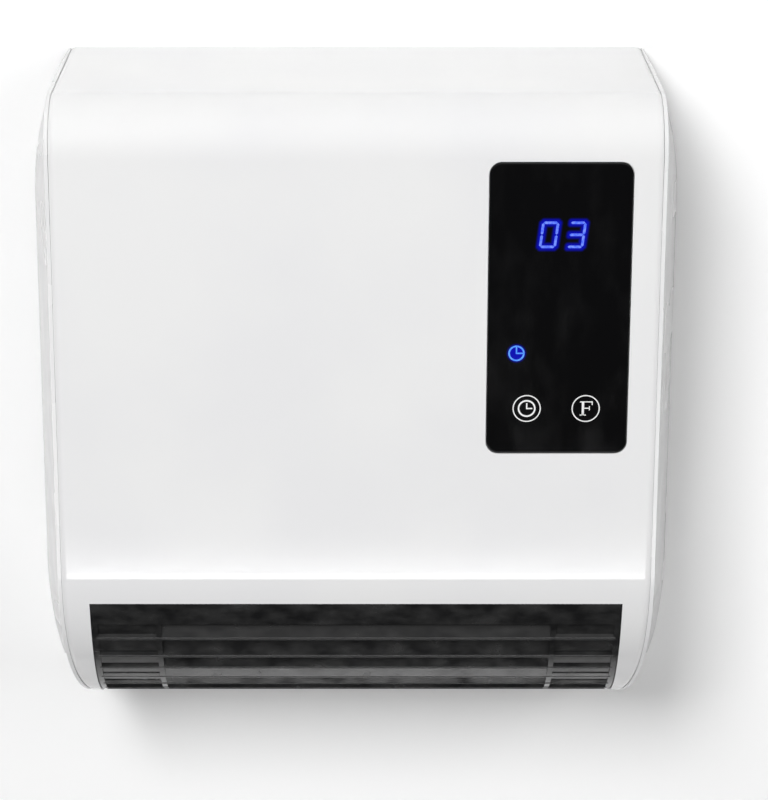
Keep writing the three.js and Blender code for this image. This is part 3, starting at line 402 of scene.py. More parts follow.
def held(value):
    """A value held between 0 and 1."""
    return min(1.0, max(0.0, value))


def tuck(verts):
    """Draws the outer parts of the chin in towards the middle."""
    for v in verts:
        below = max(LEVEL, CHIN_CENTRE.z - v.co.z)
        radius = sqrt(below ** 2 + max(0.0, CHIN_CENTRE.y - v.co.y) ** 2)
        skin_z = CHIN_CENTRE.z - CHIN_RADIUS * below / radius
        down = held((TUCK_START - skin_z) / (TUCK_START - FOOT)) ** 3
        near = held(1 - (CHIN_RADIUS - radius - TUCK_SKIN) / TUCK_FADE)
        forward = held(v.co.y / CHIN_CENTRE.y)
        out = held((abs(v.co.x) - TUCK_FREE) / (TUCK_FULL - TUCK_FREE))
        v.co.x -= copysign(TUCK * down * near * forward * out, v.co.x)


# %% [markdown]
# ## Front cover
# The real cover is one ABS shell with walls of 2.8 mm and a return of 10 mm down each side.
# Carving it out of a block would leave uneven walls, so only the outer skin is made, as a
# thin sheet, and Solidify gives it its thickness. The skin is a row of side outlines, from
# the return's back edge over the rounded edge to the face, bridged into strips.

# %% Cover shell
WALL = 2.8 * MM
RETURN = 10 * MM
EDGE_X, EDGE_RADIUS, EDGE_STEPS = 110.7 * MM, 3.8 * MM, 7
OUTLET_HALF, OUTLET_START, OUTLET_END = 102.7 * MM, 13.2, 80.3
GAP = 0.3 * MM


def edge_drop(x):
    """How deep the rounded edge lies behind the front at one x."""
    return EDGE_RADIUS - sqrt(EDGE_RADIUS ** 2 - (x - EDGE_X) ** 2)


def cover_shell():
    """The cover's skin and side returns, solidified inwards. The skin's edge is the first part of
    a round that the housing's rim goes on with."""
    bm = bmesh.new()
    outer = skin_chain(bm, HALF_WIDTH, RETURN)
    for i in range(EDGE_STEPS, -1, -1):
        x = EDGE_X + (HALF_WIDTH - EDGE_X) * i / EDGE_STEPS
        inner, outer = outer, skin_chain(bm, x, edge_drop(x))
        bmesh.ops.bridge_loops(bm, edges=inner + outer)
    across = bmesh.ops.extrude_edge_only(bm, edges=outer)["geom"]
    bmesh.ops.translate(bm, verts=verts_in(across), vec=(-EDGE_X, 0, 0))
    bmesh.ops.mirror(bm, geom=everything(bm), axis="X", merge_dist=SAME_POINT)
    bmesh.ops.remove_doubles(bm, verts=bm.verts, dist=SAME_POINT)
    shell = solid(bm, "cover_shell")
    front = min(shell.data.polygons, key=lambda face: face.center.y)
    if front.normal.y > 0:
        shell.data.flip_normals()
    wall = shell.modifiers.new("wall", "SOLIDIFY")
    wall.thickness = WALL
    wall.offset = -1
    wall.use_even_offset = True
    settle(shell)
    return shell


cover = cover_shell()

# %% [markdown]
# Four posts for the screws are joined on behind the face and drilled. The outlet, the panel's
# pocket and the panel's window are then cut, as steel inserts in the mould would leave them.
# The lower corners are drawn in last, because the cuts need the plain shell.

# %% Openings and screw posts of the cover
LENS_LOW, LENS_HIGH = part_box("control_lens")
LENS_CORNER = 4.5 * MM
LEDGE = 4 * MM
OUTLET_BEHIND, OUTLET_BEFORE = 12 * MM, 5 * MM
POST_X, POST_ZS = 105.5 * MM, (-8 * MM, 100 * MM)
POST_END = -60.3 * MM
POST_RADIUS, PILOT_RADIUS, PILOT_DEPTH = 4 * MM, 2.1 * MM, 14 * MM
POST_ROOT = 0.4 * MM


def outlet():
    """The tool for the outlet in the chin."""
    bm = bmesh.new()
    add_chin_slab(bm, CHIN_RADIUS - OUTLET_BEHIND, CHIN_RADIUS + OUTLET_BEFORE, OUTLET_START,
                  OUTLET_END, -OUTLET_HALF, OUTLET_HALF, CHIN_STEPS)
    return solid(bm, "outlet")


def panel_pocket():
    """The tool for the shallow pocket that the panel lies in."""
    bm = bmesh.new()
    pocket_low = (LENS_LOW.x - GAP, FRONT - MM, LENS_LOW.z - GAP)
    pocket_high = (LENS_HIGH.x + GAP, LENS_HIGH.y + GAP, LENS_HIGH.z + GAP)
    add_box(bm, pocket_low, pocket_high, Y_AXIS, LENS_CORNER + GAP)
    return solid(bm, "pocket")


def panel_window():
    """The tool for the hole behind the panel, inside the pocket's ledge."""
    bm = bmesh.new()
    add_box(bm, (LENS_LOW.x + LEDGE, FRONT - MM, LENS_LOW.z + LEDGE),
            (LENS_HIGH.x - LEDGE, FRONT + 2 * WALL, LENS_HIGH.z - LEDGE))
    return solid(bm, "window")


def rods_at_posts(radius, start, length, name):
    """Four rods along Y at the cover's screw posts."""
    bm = bmesh.new()
    for x in (-POST_X, POST_X):
        for z in POST_ZS:
            add_rod(bm, (x, start, z), Y_AXIS, radius, length)
    return solid(bm, name)


post_start = FRONT + WALL - POST_ROOT
carve(cover, rods_at_posts(POST_RADIUS, post_start, POST_END - post_start, "posts"), "UNION")
carve(cover, rods_at_posts(PILOT_RADIUS, POST_END - PILOT_DEPTH, 2 * PILOT_DEPTH, "pilots"))
carve(cover, panel_pocket())
carve(cover, panel_window())
carve(cover, outlet())
tuck(cover.data.vertices)
soften(cover, width=0.3 * MM)

# %% [markdown]
# ## Rear housing
# The housing carries everything and shows as a strip on each side, where it laps over the
# cover's return, goes on with the cover's rounded edge, and widens in a hollow curve towards the
# wall. That curve is one function of depth and height, so the sides, the room between them and
# the hole in the wall behind can all follow it.

# %% The curve of the sides
HOUSING_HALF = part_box("rear_housing")[1].x
NARROW, LEDGE_OUT = HALF_WIDTH + 0.4 * MM, 1.1 * MM
LEDGE_FADE = 40 * MM
FLARE_DELAY, FLARE_CURVE = 3 * MM, 1.5
TAPER_TOP, TAPER_TOP_LENGTH, TAPER_TOP_CURVE = 70 * MM, 60 * MM, 0.85
TAPER_FOOT, TAPER_FOOT_LENGTH = -85 * MM, 58 * MM


def flare_share(z):
    """Share of the flare that is left at one height: it draws in towards the top and the foot."""
    high = held((z - TAPER_TOP) / TAPER_TOP_LENGTH)
    low = held((TAPER_FOOT - z) / TAPER_FOOT_LENGTH)
    return (1 - high ** 2) ** TAPER_TOP_CURVE * sqrt(1 - low ** 2)


def flare_start(z):
    """Depth at which the flare starts: a little behind the front, also along the chin."""
    below = max(0.0, CHIN_CENTRE.z - z)
    skin_y = CHIN_CENTRE.y - sqrt(max(0.0, CHIN_RADIUS ** 2 - below ** 2)) if below else FRONT
    return skin_y + FLARE_DELAY


def side_at(y, z):
    """How far the side stands from the middle at one depth and height."""
    share = flare_share(z)
    out = HOUSING_HALF - NARROW - LEDGE_OUT
    flare = out * max(0.0, 1 - y / flare_start(z)) ** FLARE_CURVE
    ledge = LEDGE_OUT * (1 - (1 - share) * max(0.0, 1 + y / LEDGE_FADE))
    return NARROW + ledge + share * flare


print(f"housing {2 * side_at(0, 0) / MM:.1f} mm wide at the wall")

# %% [markdown]
# The two sides are made afresh. A few lines near the front edge are bridged into the rounded
# rim and the last one is swept back to the wall. Every point then moves out onto the curve,
# the side is filled inwards, and three planes trim it.

# %% The sides of the housing
HOUSING_WALL, HOUSING_BACK, HOUSING_FOOT = 2.4 * MM, 2.5 * MM, 4 * MM
INNER_X, MIDDLE_X = 110.5 * MM, 111.5 * MM
STRIP = 3 * MM
SHORT_CUTS, LONG_CUTS, WALL_CUTS = 12, 50, 40
BEHIND, PAST, TRIM = 40 * MM, 2 * MM, 0.3 * MM
RIM_INSETS = [share * EDGE_RADIUS for share in (0.1, 0.15, 0.21, 0.29, 0.39, 0.52, 0.7, 0.97)]
CHIN_END = CHIN_CENTRE.y + GAP


def side_line(bm, inset):
    """A line along the side, set in from the outline, that runs past the wall at both ends."""
    dome_steps, bend_steps, chin_steps = 24, 3, 44
    before = set(bm.edges)
    end = bm.verts.new((0, BEHIND / 2, TOP + PAST - inset))
    end = reach(bm, end, (0, DOME_CENTRE.y, TOP - inset))
    end = turn(bm, end, DOME_CENTRE, 90, dome_steps)
    end = reach(bm, end, (0, FRONT + inset, BEND_Z))
    end = turn(bm, end, BEND_CENTRE, BEND_DEGREES, bend_steps)
    end = turn(bm, end, CHIN_CENTRE, 90 - BEND_DEGREES, chin_steps)
    end = reach(bm, end, (0, CHIN_END, FOOT - PAST + inset))
    reach(bm, end, (0, BEHIND / 2, FOOT - 2 * PAST + inset))
    made = [e for e in bm.edges if e not in before]
    for edge in [e for e in made if e.calc_length() > 2 * STRIP]:
        runs_back = abs(edge.verts[0].co.y - edge.verts[1].co.y) > STRIP
        bmesh.ops.subdivide_edges(bm, edges=[edge], cuts=SHORT_CUTS if runs_back else LONG_CUTS)
    return [e for e in bm.edges if e not in before]


def rim_drop(depth):
    """How far the rounded rim lies inside the side's curve, `depth` behind the front."""
    return EDGE_RADIUS - sqrt(EDGE_RADIUS ** 2 - max(0.0, EDGE_RADIUS - depth) ** 2)


def side_shape():
    """One side as a closed solid: swept from its front edge past the wall, filled inwards and
    trimmed flat at the wall, the foot and the top."""
    bm = bmesh.new()
    drops = {}
    line = None
    for inset in RIM_INSETS:
        known = set(bm.verts)
        ahead, line = line, side_line(bm, inset)
        drops.update({v: rim_drop(inset) for v in bm.verts if v not in known})
        if ahead:
            bmesh.ops.bridge_loops(bm, edges=ahead + line)
    ends = set(verts_in(bmesh.ops.extrude_edge_only(bm, edges=line)["geom"]))
    for v in ends:
        v.co.y = BEHIND
    to_wall = [e for e in bm.edges if len(ends.intersection(e.verts)) == 1]
    bmesh.ops.subdivide_edges(bm, edges=to_wall, cuts=WALL_CUTS, use_grid_fill=True)
    for v in bm.verts:
        v.co.x = side_at(v.co.y, v.co.z) - drops.get(v, 0)
    rim = [e for e in bm.edges if e.is_boundary]
    for v in verts_in(bmesh.ops.extrude_edge_only(bm, edges=rim)["geom"]):
        v.co.x = INNER_X
    bmesh.ops.holes_fill(bm, edges=[e for e in bm.edges if e.is_boundary], sides=0)
    trims = (((0, 0, 0), Y_AXIS), ((0, 0, FOOT), -Z_AXIS), ((0, 0, TOP - TRIM), Z_AXIS))
    for point, normal in trims:
        cut = bmesh.ops.bisect_plane(bm, geom=everything(bm), plane_co=point, plane_no=normal,
                                     clear_outer=True)
        bmesh.ops.edgeloop_fill(
            bm, edges=[e for e in cut["geom_cut"] if isinstance(e, bmesh.types.BMEdge)])
    return bm


def both_sides():
    """The right side and its mirror image."""
    bm = side_shape()
    for v in verts_in(bmesh.ops.duplicate(bm, geom=everything(bm))["geom"]):
        v.co.x = -v.co.x
    return solid(bm, "housing_sides")


sides = both_sides()
print(f"{sides.name}: {len(sides.data.polygons)} faces")

# %% [markdown]
# Two shapes are cut out of the sides: the space that the cover takes up, and the room for the
# works, one wall further in. Both are sliced before their points move, so that their flat
# faces can bend with the sides. The seam beside the cover opens by a hair near the top.

# %% The spaces inside the sides
ROOM_SLICES, SEAM_SLICES = 32, 48
SEAM, SEAM_OPEN, SEAM_WIDEST, SEAM_FADE = 0.05 * MM, 0.08 * MM, 108 * MM, 32 * MM
COVER_SPACE_PAST = 10 * MM


def slice_up(bm, axis, low, high, slices):
    """Cuts a shape into equal slices along an axis."""
    for i in range(1, slices):
        bmesh.ops.bisect_plane(bm, geom=everything(bm), plane_no=axis,
                               plane_co=axis * (low + (high - low) * i / slices))


def room_between():
    """The room inside the housing, whose sides follow the same curve, one wall further in."""
    bm = bmesh.new()
    add_box(bm, (-1, FRONT - STRIP, FOOT + HOUSING_FOOT + HOUSING_BACK),
            (1, -HOUSING_BACK, TOP - RETURN - GAP - HOUSING_WALL))
    slice_up(bm, Y_AXIS, FRONT, 0, ROOM_SLICES)
    slice_up(bm, Z_AXIS, FOOT, TOP, ROOM_SLICES)
    for v in bm.verts:
        v.co.x = copysign(side_at(v.co.y, v.co.z) - HOUSING_WALL, v.co.x)
    return solid(bm, "room_between")


def cover_space():
    """The space that the cover takes up in front of the housing, as one extruded outline."""
    bm = bmesh.new()
    beside = HALF_WIDTH + SEAM
    skin_chain(bm, -beside, RETURN + GAP)
    bm.verts.ensure_lookup_table()
    low, high = sorted((v for v in bm.verts if len(v.link_edges) == 1), key=lambda v: v.co.z)
    past = COVER_SPACE_PAST
    for y, z in ((CHIN_END, low.co.z), (CHIN_END, FOOT - past), (FRONT - past, FOOT - past),
                 (FRONT - past, TOP + past), (past, TOP + past), (past, high.co.z)):
        low = reach(bm, low, (-beside, y, z))
    bm.edges.new((low, high))
    face = bmesh.ops.contextual_create(bm, geom=bm.edges[:])["faces"]
    swept = bmesh.ops.extrude_face_region(bm, geom=face)["geom"]
    bmesh.ops.translate(bm, verts=verts_in(swept), vec=(2 * beside, 0, 0))
    slice_up(bm, Z_AXIS, FOOT, TOP, SEAM_SLICES)
    for v in bm.verts:
        opened = SEAM_OPEN * held(1 - abs(v.co.z - SEAM_WIDEST) / SEAM_FADE)
        v.co.x += copysign(opened, v.co.x)
    return solid(bm, "cover_space")


def boxed(name, low, high):
    """A plain box as an object."""
    bm = bmesh.new()
    add_box(bm, low, high)
    return solid(bm, name)


# %% [markdown]
# The middle of the housing, with its ribs, tubes, holes and slots, is a merged copy of the
# frame's solid with softened edges. It is cut to the width between the sides, and the sides
# are joined on.

# %% Sides and middle joined
TRAY_HALF = 118 * MM

carve(sides, cover_space())
carve(sides, room_between())
carve(sides, boxed("tray", (-TRAY_HALF, CHIN_END + HOUSING_WALL, FOOT - MM),
                   (TRAY_HALF, -HOUSING_BACK, FOOT + HOUSING_FOOT)))
tuck(sides.data.vertices)


def rounded_copy(node, name, width):
    """A merged copy of a frame node with its edges rounded."""
    bm = bmesh.new()
    bm.from_mesh(NODES[node].data)
    bmesh.ops.remove_doubles(bm, verts=bm.verts, dist=0.01 * MM)
    bmesh.ops.dissolve_limit(bm, angle_limit=radians(1), verts=bm.verts, edges=bm.edges)
    made = solid(bm, name)
    soften(made, width)
    return made


housing = rounded_copy("rear_housing", "housing_shell", width=0.3 * MM)
carve(housing, boxed("middle", (-MIDDLE_X, FRONT - MM, FOOT - MM), (MIDDLE_X, MM, TOP + MM)),
      "INTERSECT")
carve(housing, sides, "UNION")
shade(housing, crease=25)

# %% [markdown]
# ## Outlet grille
# One black moulding: a frame that follows the chin, seven slats that lean down and out, two
# strong dividers, three thin ribs behind the slats, and closed panels behind the slats at
# both ends. Each slat is a thin box with its front edge rounded, turned about the chin, with a
# thin round lip along that edge, which catches the light.

# %% Grille frame and slats
GRILLE_HALF = OUTLET_HALF - GAP
GRILLE_SKIN = CHIN_RADIUS - 0.6 * MM
FRAME_DEPTH, FRAME_SIDE, FRAME_PLAY = 3 * MM, 2.2 * MM, 0.3
WINDOW_BEHIND, WINDOW_BEFORE = 9 * MM, 4 * MM
OPEN_START, OPEN_END, OPEN_LAP = 20.7, 72.0, 1
DIVIDER_X, DIVIDER_HALF, DIVIDER_INSET = 76.6 * MM, 1.0 * MM, 0.2 * MM
RIB_XS, RIB_HALF, RIB_INSET = (-38.5 * MM, 0, 38.5 * MM), 0.8 * MM, 3.5 * MM
UPRIGHT_DEPTH = 8.5 * MM
SLAT_COUNT, SLAT_FIRST, SLAT_SECOND, SLAT_PITCH = 7, 26.6, 34.6, 6.55
SLAT_DEPTH, SLAT_LEAN, SLAT_THICK, SLAT_NOSE = 7.8 * MM, 5, 1.4 * MM, 0.45
SLAT_INSET, SLAT_END = 0.4 * MM, 1.5 * MM
BEAD_RADIUS = 0.8 * MM
BLIND_INSET, BLIND_DEPTH, BLIND_LAP, BLIND_END = 0.9 * MM, 5 * MM, 0.5 * MM, 1.0 * MM


def grille_frame():
    """The curved frame with its three windows."""
    bm = bmesh.new()
    add_chin_slab(bm, GRILLE_SKIN - FRAME_DEPTH, GRILLE_SKIN, OUTLET_START + FRAME_PLAY,
                  OUTLET_END - FRAME_PLAY, -GRILLE_HALF, GRILLE_HALF, CHIN_STEPS)
    made = solid(bm, "grille_shell")
    tools = bmesh.new()
    side = GRILLE_HALF - FRAME_SIDE
    inner, outer = DIVIDER_X - DIVIDER_HALF, DIVIDER_X + DIVIDER_HALF
    for x0, x1 in ((-side, -outer), (-inner, inner), (outer, side)):
        add_chin_slab(tools, GRILLE_SKIN - WINDOW_BEHIND, GRILLE_SKIN + WINDOW_BEFORE,
                      OPEN_START, OPEN_END, x0, x1)
    carve(made, solid(tools, "windows"))
    return made


def add_slat(bm, degrees, half):
    """One slat from its front edge on the chin back into the outlet."""
    front = chin_point(GRILLE_SKIN - SLAT_INSET, degrees)
    rear = chin_point(GRILLE_SKIN - SLAT_DEPTH, degrees - SLAT_LEAN)
    along = (rear - front).normalized()
    length = (rear - front).length
    start = len(bm.verts)
    verts = add_box(bm, (-half, 0, 0), (half, length, SLAT_THICK))
    nose = [e for e in {e for v in verts for e in v.link_edges}
            if all(abs(v.co.y) < TOUCHING for v in e.verts)
            and abs(e.verts[0].co.x - e.verts[1].co.x) > half]
    bmesh.ops.bevel(bm, geom=nose, offset=SLAT_NOSE * SLAT_THICK, segments=4, profile=0.5,
                    affect="EDGES", material=-1)
    bm.verts.ensure_lookup_table()
    lean = Y_AXIS.rotation_difference(along).to_matrix().to_4x4()
    bmesh.ops.transform(bm, matrix=Matrix.Translation(front) @ lean, verts=bm.verts[start:])


def bead(degrees, half):
    """The rounded lip along a slat's front edge."""
    bm = bmesh.new()
    middle = chin_point(GRILLE_SKIN - BEAD_RADIUS, degrees, -half)
    add_rod(bm, middle, X_AXIS, BEAD_RADIUS, 2 * half, sides=24)
    return solid(bm, "bead")


def grille_details():
    """Slats, dividers, ribs and the closed end panels, as separate closed shapes."""
    parts = []
    half = GRILLE_HALF - SLAT_END
    for degrees in [SLAT_FIRST] + [SLAT_SECOND + i * SLAT_PITCH for i in range(SLAT_COUNT - 1)]:
        bm = bmesh.new()
        add_slat(bm, degrees, half)
        parts += [solid(bm, "slat"), bead(degrees, half)]
    slabs = [("upright", UPRIGHT_DEPTH, DIVIDER_INSET, x - DIVIDER_HALF, x + DIVIDER_HALF)
             for x in (-DIVIDER_X, DIVIDER_X)]
    slabs += [("upright", UPRIGHT_DEPTH, RIB_INSET, x - RIB_HALF, x + RIB_HALF) for x in RIB_XS]
    blind_start, blind_end = DIVIDER_X - BLIND_LAP, GRILLE_HALF - BLIND_END
    slabs += [("blind_panel", BLIND_DEPTH, BLIND_INSET, x0, x1)
              for x0, x1 in ((-blind_end, -blind_start), (blind_start, blind_end))]
    for name, depth, inset, x0, x1 in slabs:
        bm = bmesh.new()
        add_chin_slab(bm, GRILLE_SKIN - depth, GRILLE_SKIN - inset, OPEN_START - OPEN_LAP,
                      OPEN_END + OPEN_LAP, x0, x1)
        parts.append(solid(bm, name))
    return parts


grille = grille_frame()
for detail in grille_details():
    carve(grille, detail, "UNION")
shade(grille, crease=32)

# %% [markdown]
# ## Touch panel
# The panel is a sheet of clear acrylic, printed black on its back, so that it looks like deep
# black glass. Its front edge has a small bevel that catches a thin line of light. White
# symbols are printed on it, and blue light shines through at the digits and the timer lamp.

# %% Panel lens
PRINT = 0.04 * MM
LENS_FRONT = LENS_LOW.y + PRINT
LENS_BEVEL = 0.55 * MM


def lens_shape():
    """The panel: a box with four rounded corners and a bevel round its front."""
    bm = bmesh.new()
    add_box(bm, (LENS_LOW.x, LENS_FRONT, LENS_LOW.z), LENS_HIGH, Y_AXIS, LENS_CORNER)
    rim = [e for e in bm.edges if all(v.co.y < LENS_FRONT + TOUCHING for v in e.verts)]
    bmesh.ops.bevel(bm, geom=rim, offset=LENS_BEVEL, segments=3, profile=0.5, affect="EDGES",
                    material=-1)
    return solid(bm, "panel_lens")


lens = lens_shape()
shade(lens)

# %% [markdown]
# The digits are seven-segment figures that lean to the right. One segment is a thin bar with
# pointed ends, made by bevelling the four upright edges of a box. The same list of bars is
# used again for the glow round the digits, as distances in the lens's finish.

# %% Digits
DIGIT_HEIGHT, DIGIT_WIDTH, STROKE = 9.2 * MM, 5.4 * MM, 0.95 * MM
BAR_GAP, BAR_POINT = 0.12 * MM, 0.48
DIGIT_LEAN = 0.12
DIGIT_Z = 80.8 * MM
DIGIT_XS = {"digit_zero": 71.3 * MM, "digit_three": 81.4 * MM}
BARS = {"digit_zero": "abcdef", "digit_three": "abcdg"}
BAR_PLACES = {
    "a": (0, 1, True), "g": (0, 0, True), "d": (0, -1, True),
    "b": (0.5, 0.5, False), "c": (0.5, -0.5, False),
    "e": (-0.5, -0.5, False), "f": (-0.5, 0.5, False),
}


def bar_boxes(digit):
    """Centre and half size of each lit bar, before the digit leans, on the panel's plane."""
    boxes = []
    for bar in BARS[digit]:
        across, up, flat = BAR_PLACES[bar]
        centre = Vector((DIGIT_XS[digit] + across * DIGIT_WIDTH, 0,
                         DIGIT_Z + up * DIGIT_HEIGHT / 2))
        length = DIGIT_WIDTH if flat else DIGIT_HEIGHT / 2
        half = length / 2 - BAR_GAP
        boxes.append((centre, (half, STROKE / 2) if flat else (STROKE / 2, half)))
    return boxes


def figure(digit):
    """One leaning digit made of pointed bars."""
    bm = bmesh.new()
    for centre, (half_x, half_z) in bar_boxes(digit):
        place = Matrix.Translation(centre) @ Matrix.Diagonal((2 * half_x, PRINT, 2 * half_z, 1))
        verts = bmesh.ops.create_cube(bm, size=1, matrix=place)["verts"]
        upright = [e for e in {e for v in verts for e in v.link_edges}
                   if abs(e.verts[0].co.y - e.verts[1].co.y) > PRINT / 2]
        bmesh.ops.bevel(bm, geom=upright, offset=BAR_POINT * STROKE, segments=1, profile=0.5,
                        affect="EDGES", material=-1)
    for v in bm.verts:
        v.co.x += DIGIT_LEAN * (v.co.z - DIGIT_Z)
    bmesh.ops.translate(bm, verts=bm.verts, vec=(0, LENS_FRONT - PRINT / 2, 0))
    return solid(bm, digit)


digits = [figure(name) for name in DIGIT_XS]
print("lit bars:", sum(len(bars) for bars in BARS.values()))

# %% [markdown]
# The symbols are rings and strokes as thick as a coat of ink. A ring is a small rectangle
# spun round its centre, and a stroke is a flat box. The clock's hands point to three o'clock,
# and the letter, a serif F drawn as seven strokes, stands for the function key. Their sizes
# are millimetres from the symbol's centre.

# %% Printed and lit symbols
TIMER_LAMP = Vector((60.0 * MM, 0, 35.0 * MM))
TIMER_KEY = Vector((64.2 * MM, 0, 13.3 * MM))
FUNCTION_KEY = Vector((86.4 * MM, 0, 13.3 * MM))


def add_ring(bm, centre, radius, width):
    """A flat ring of ink on the panel."""
    corners = [(radius - width / 2, -PRINT), (radius + width / 2, -PRINT),
               (radius + width / 2, 0), (radius - width / 2, 0)]
    verts = [bm.verts.new(centre + Vector((r, LENS_FRONT + y, 0))) for r, y in corners]
    edges = [bm.edges.new((verts[i], verts[(i + 1) % 4])) for i in range(4)]
    bmesh.ops.spin(bm, geom=[*verts, *edges], cent=centre, axis=Y_AXIS, angle=2 * pi, steps=64,
                   use_merge=True)


def hands(length, width):
    """The strokes of two clock hands: one up, one to the right."""
    half = width / 2
    return [(-half, half, -half, length), (half, length, -half, half)]


def symbol(name, centre, rings, strokes):
    """One symbol of rings, as radius and width, and strokes, as x0, x1, z0 and z1."""
    bm = bmesh.new()
    for radius, width in rings:
        add_ring(bm, centre, radius * MM, width * MM)
    for x0, x1, z0, z1 in strokes:
        add_box(bm, centre + Vector((x0 * MM, LENS_FRONT - PRINT, z0 * MM)),
                centre + Vector((x1 * MM, LENS_FRONT, z1 * MM)))
    return solid(bm, name)


LETTER = [(-1.5, -0.6, -2.8, 2.8), (-2.2, 0.1, -2.8, -2.4), (-2.2, -1.5, 2.4, 2.8),
          (-0.6, 2.6, 2.4, 2.8), (2.2, 2.6, 1.4, 2.4), (-0.6, 1.2, -0.1, 0.3),
          (1.2, 1.55, -0.7, 0.9)]
KEY_RING = (5.1, 0.42)
timer_lamp = symbol("timer_light", TIMER_LAMP, [(2.75, 0.6)], hands(2.5, 0.55))
timer_symbol = symbol("timer_symbol", TIMER_KEY, [KEY_RING, (3.05, 0.62)], hands(2.1, 0.5))
function_symbol = symbol("function_symbol", FUNCTION_KEY, [KEY_RING], LETTER)

# %% [markdown]
# ## Pieces on the underside
# A rubber gland lines the hole for the mains cord, and a rocker switch sits on the other
# side. The gland is a profile spun round its axis. The switch body and the rocker, which is
# tipped to the off side, are the frame's solids with rounded edges.

# %% Gland, switch body and rocker
switch_case = rounded_copy("switch_body", "switch_case", width=0.25 * MM)
rocker = rounded_copy("switch_rocker", "rocker_key", width=0.3 * MM)

GLAND_LOW, GLAND_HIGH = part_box("cable_gland")
GLAND_AXIS = Vector(((GLAND_LOW.x + GLAND_HIGH.x) / 2, (GLAND_LOW.y + GLAND_HIGH.y) / 2, 0))
GLAND_FLANGE = (GLAND_HIGH.x - GLAND_LOW.x) / 2
GLAND_NECK, GLAND_BORE = 5.8 * MM, 3.5 * MM
GLAND_LIP, GLAND_ROUND = 0.6 * MM, 0.5 * MM


def gland_shape():
    """The gland's outline with rounded corners, spun round the cord's axis."""
    bottom, top = GLAND_LOW.z, GLAND_HIGH.z
    wall_low = FOOT + HOUSING_FOOT - GAP
    wall_high = FOOT + HOUSING_FOOT + HOUSING_BACK + GAP
    outline = [(GLAND_BORE, bottom), (GLAND_FLANGE, bottom), (GLAND_FLANGE, wall_low),
               (GLAND_NECK, wall_low), (GLAND_NECK, wall_high),
               (GLAND_FLANGE - GLAND_LIP, wall_high), (GLAND_NECK, top), (GLAND_BORE, top)]
    bm = bmesh.new()
    face = bm.faces.new([bm.verts.new(GLAND_AXIS + Vector((r, 0, z))) for r, z in outline])
    bmesh.ops.bevel(bm, geom=face.verts[:], offset=GLAND_ROUND, segments=3, profile=0.5,
                    affect="VERTICES", material=-1)
    bmesh.ops.delete(bm, geom=bm.faces[:], context="FACES_ONLY")
    bmesh.ops.spin(bm, geom=bm.verts[:] + bm.edges[:], cent=GLAND_AXIS, axis=Z_AXIS,
                   angle=2 * pi, steps=64, use_merge=True)
    made = solid(bm, "gland_ring")
    made.data.shade_smooth()
    return made


gland = gland_shape()
print(f"gland {2 * GLAND_FLANGE / MM:.1f} mm wide, bore {2 * GLAND_BORE / MM:.1f} mm")

# %% [markdown]
# ## White ABS
# The cover and the housing are injection moulded ABS from a polished mould: very smooth,
# with slow waves of about ten micrometres that soften reflections, and a nearly neutral white.
# The housing is the same plastic from a plainer mould, so its gloss is a little lower.

# %% White plastics
cover_white = moulded("gloss_white_abs", "#E7E7E8", "#EAEAEA", 60 * MM, (0.07, 0.1),
                      9 * MM, 0.012 * MM, IOR=1.53)
housing_white = moulded("housing_white_abs", "#E4E4E5", "#E9E9E9", 40 * MM, (0.2, 0.3),
                        9 * MM, 0.012 * MM, IOR=1.53)
fit(cover, cover_white, "cover_white", "heater", "front_cover")
fit(housing, housing_white, "housing_white", "heater", "rear_housing")

# %% [markdown]
# ## Black plastics
# The grille is black polyamide that takes the heat. It is moulded glossy but not even: its
# skin shows cloudy flow marks, which look like smears in the reflections. The switch is plain
# black ABS, and the gland is rubber, which is dull.

# %% Black plastics
def smeared_black():
    """Black polyamide with cloudy flow marks, drawn out along the slats."""
    material, tree, shader = new_finish("flow_marked_black_polyamide", IOR=1.53,
                                        Specular_IOR_Level=0.7)
    clouds = grain(tree, 6 * MM, 6.0, (0.6, 1, 1))
    tree.links.new(blend_colour(tree, clouds, "#101011", "#2A2A2A"), shader.inputs["Base Color"])
    uneven = add(tree, "ShaderNodeMapRange", NOISE_SPAN | {"To Min": 0.12, "To Max": 0.3},
                 {"Value": clouds})
    tree.links.new(uneven.outputs["Result"], shader.inputs["Roughness"])
    waves = add(tree, "ShaderNodeBump", {"Strength": 1, "Distance": 0.09 * MM},
                {"Height": grain(tree, 14 * MM, 2.0)})
    fine = add(tree, "ShaderNodeBump", {"Strength": 1, "Distance": 0.008 * MM},
               {"Height": grain(tree, 0.8 * MM), "Normal": waves.outputs["Normal"]})
    tree.links.new(fine.outputs["Normal"], shader.inputs["Normal"])
    return material


grille_black = smeared_black()
fit(grille, grille_black, "grille_black", "heater", "outlet_grille")
switch_black = moulded("switch_black_abs", "#131314", "#1E1E1F", 5 * MM, (0.3, 0.42),
                       0.4 * MM, 0.01 * MM, IOR=1.53)
fit(switch_case, switch_black, "switch_black", "heater", "switch_body")
fit(rocker, switch_black, "switch_black", "switch_button", "switch_rocker")
rubber = moulded("epdm_rubber", "#1D1D1D", "#2A2A2A", 4 * MM, (0.75, 0.9), 0.3 * MM,
                 0.02 * MM, IOR=1.5)
fit(gland, rubber, "rubber_black", "heater", "cable_gland")

# %% [markdown]
# ## Panel finish
# Back-printed acrylic is deep black and mirror smooth, with faint wiping marks on its face.
# The blue lamps behind it spill a little light round the digits: the finish measures the
# distance to every lit bar and to the timer lamp, and lets a deep blue glow fade over less
# than two millimetres.

# %% Acrylic lens with its blue glow
GLOW_REACH, GLOW = 1.7 * MM, 0.75
LAMP_GLOW_RADIUS = 2.4 * MM


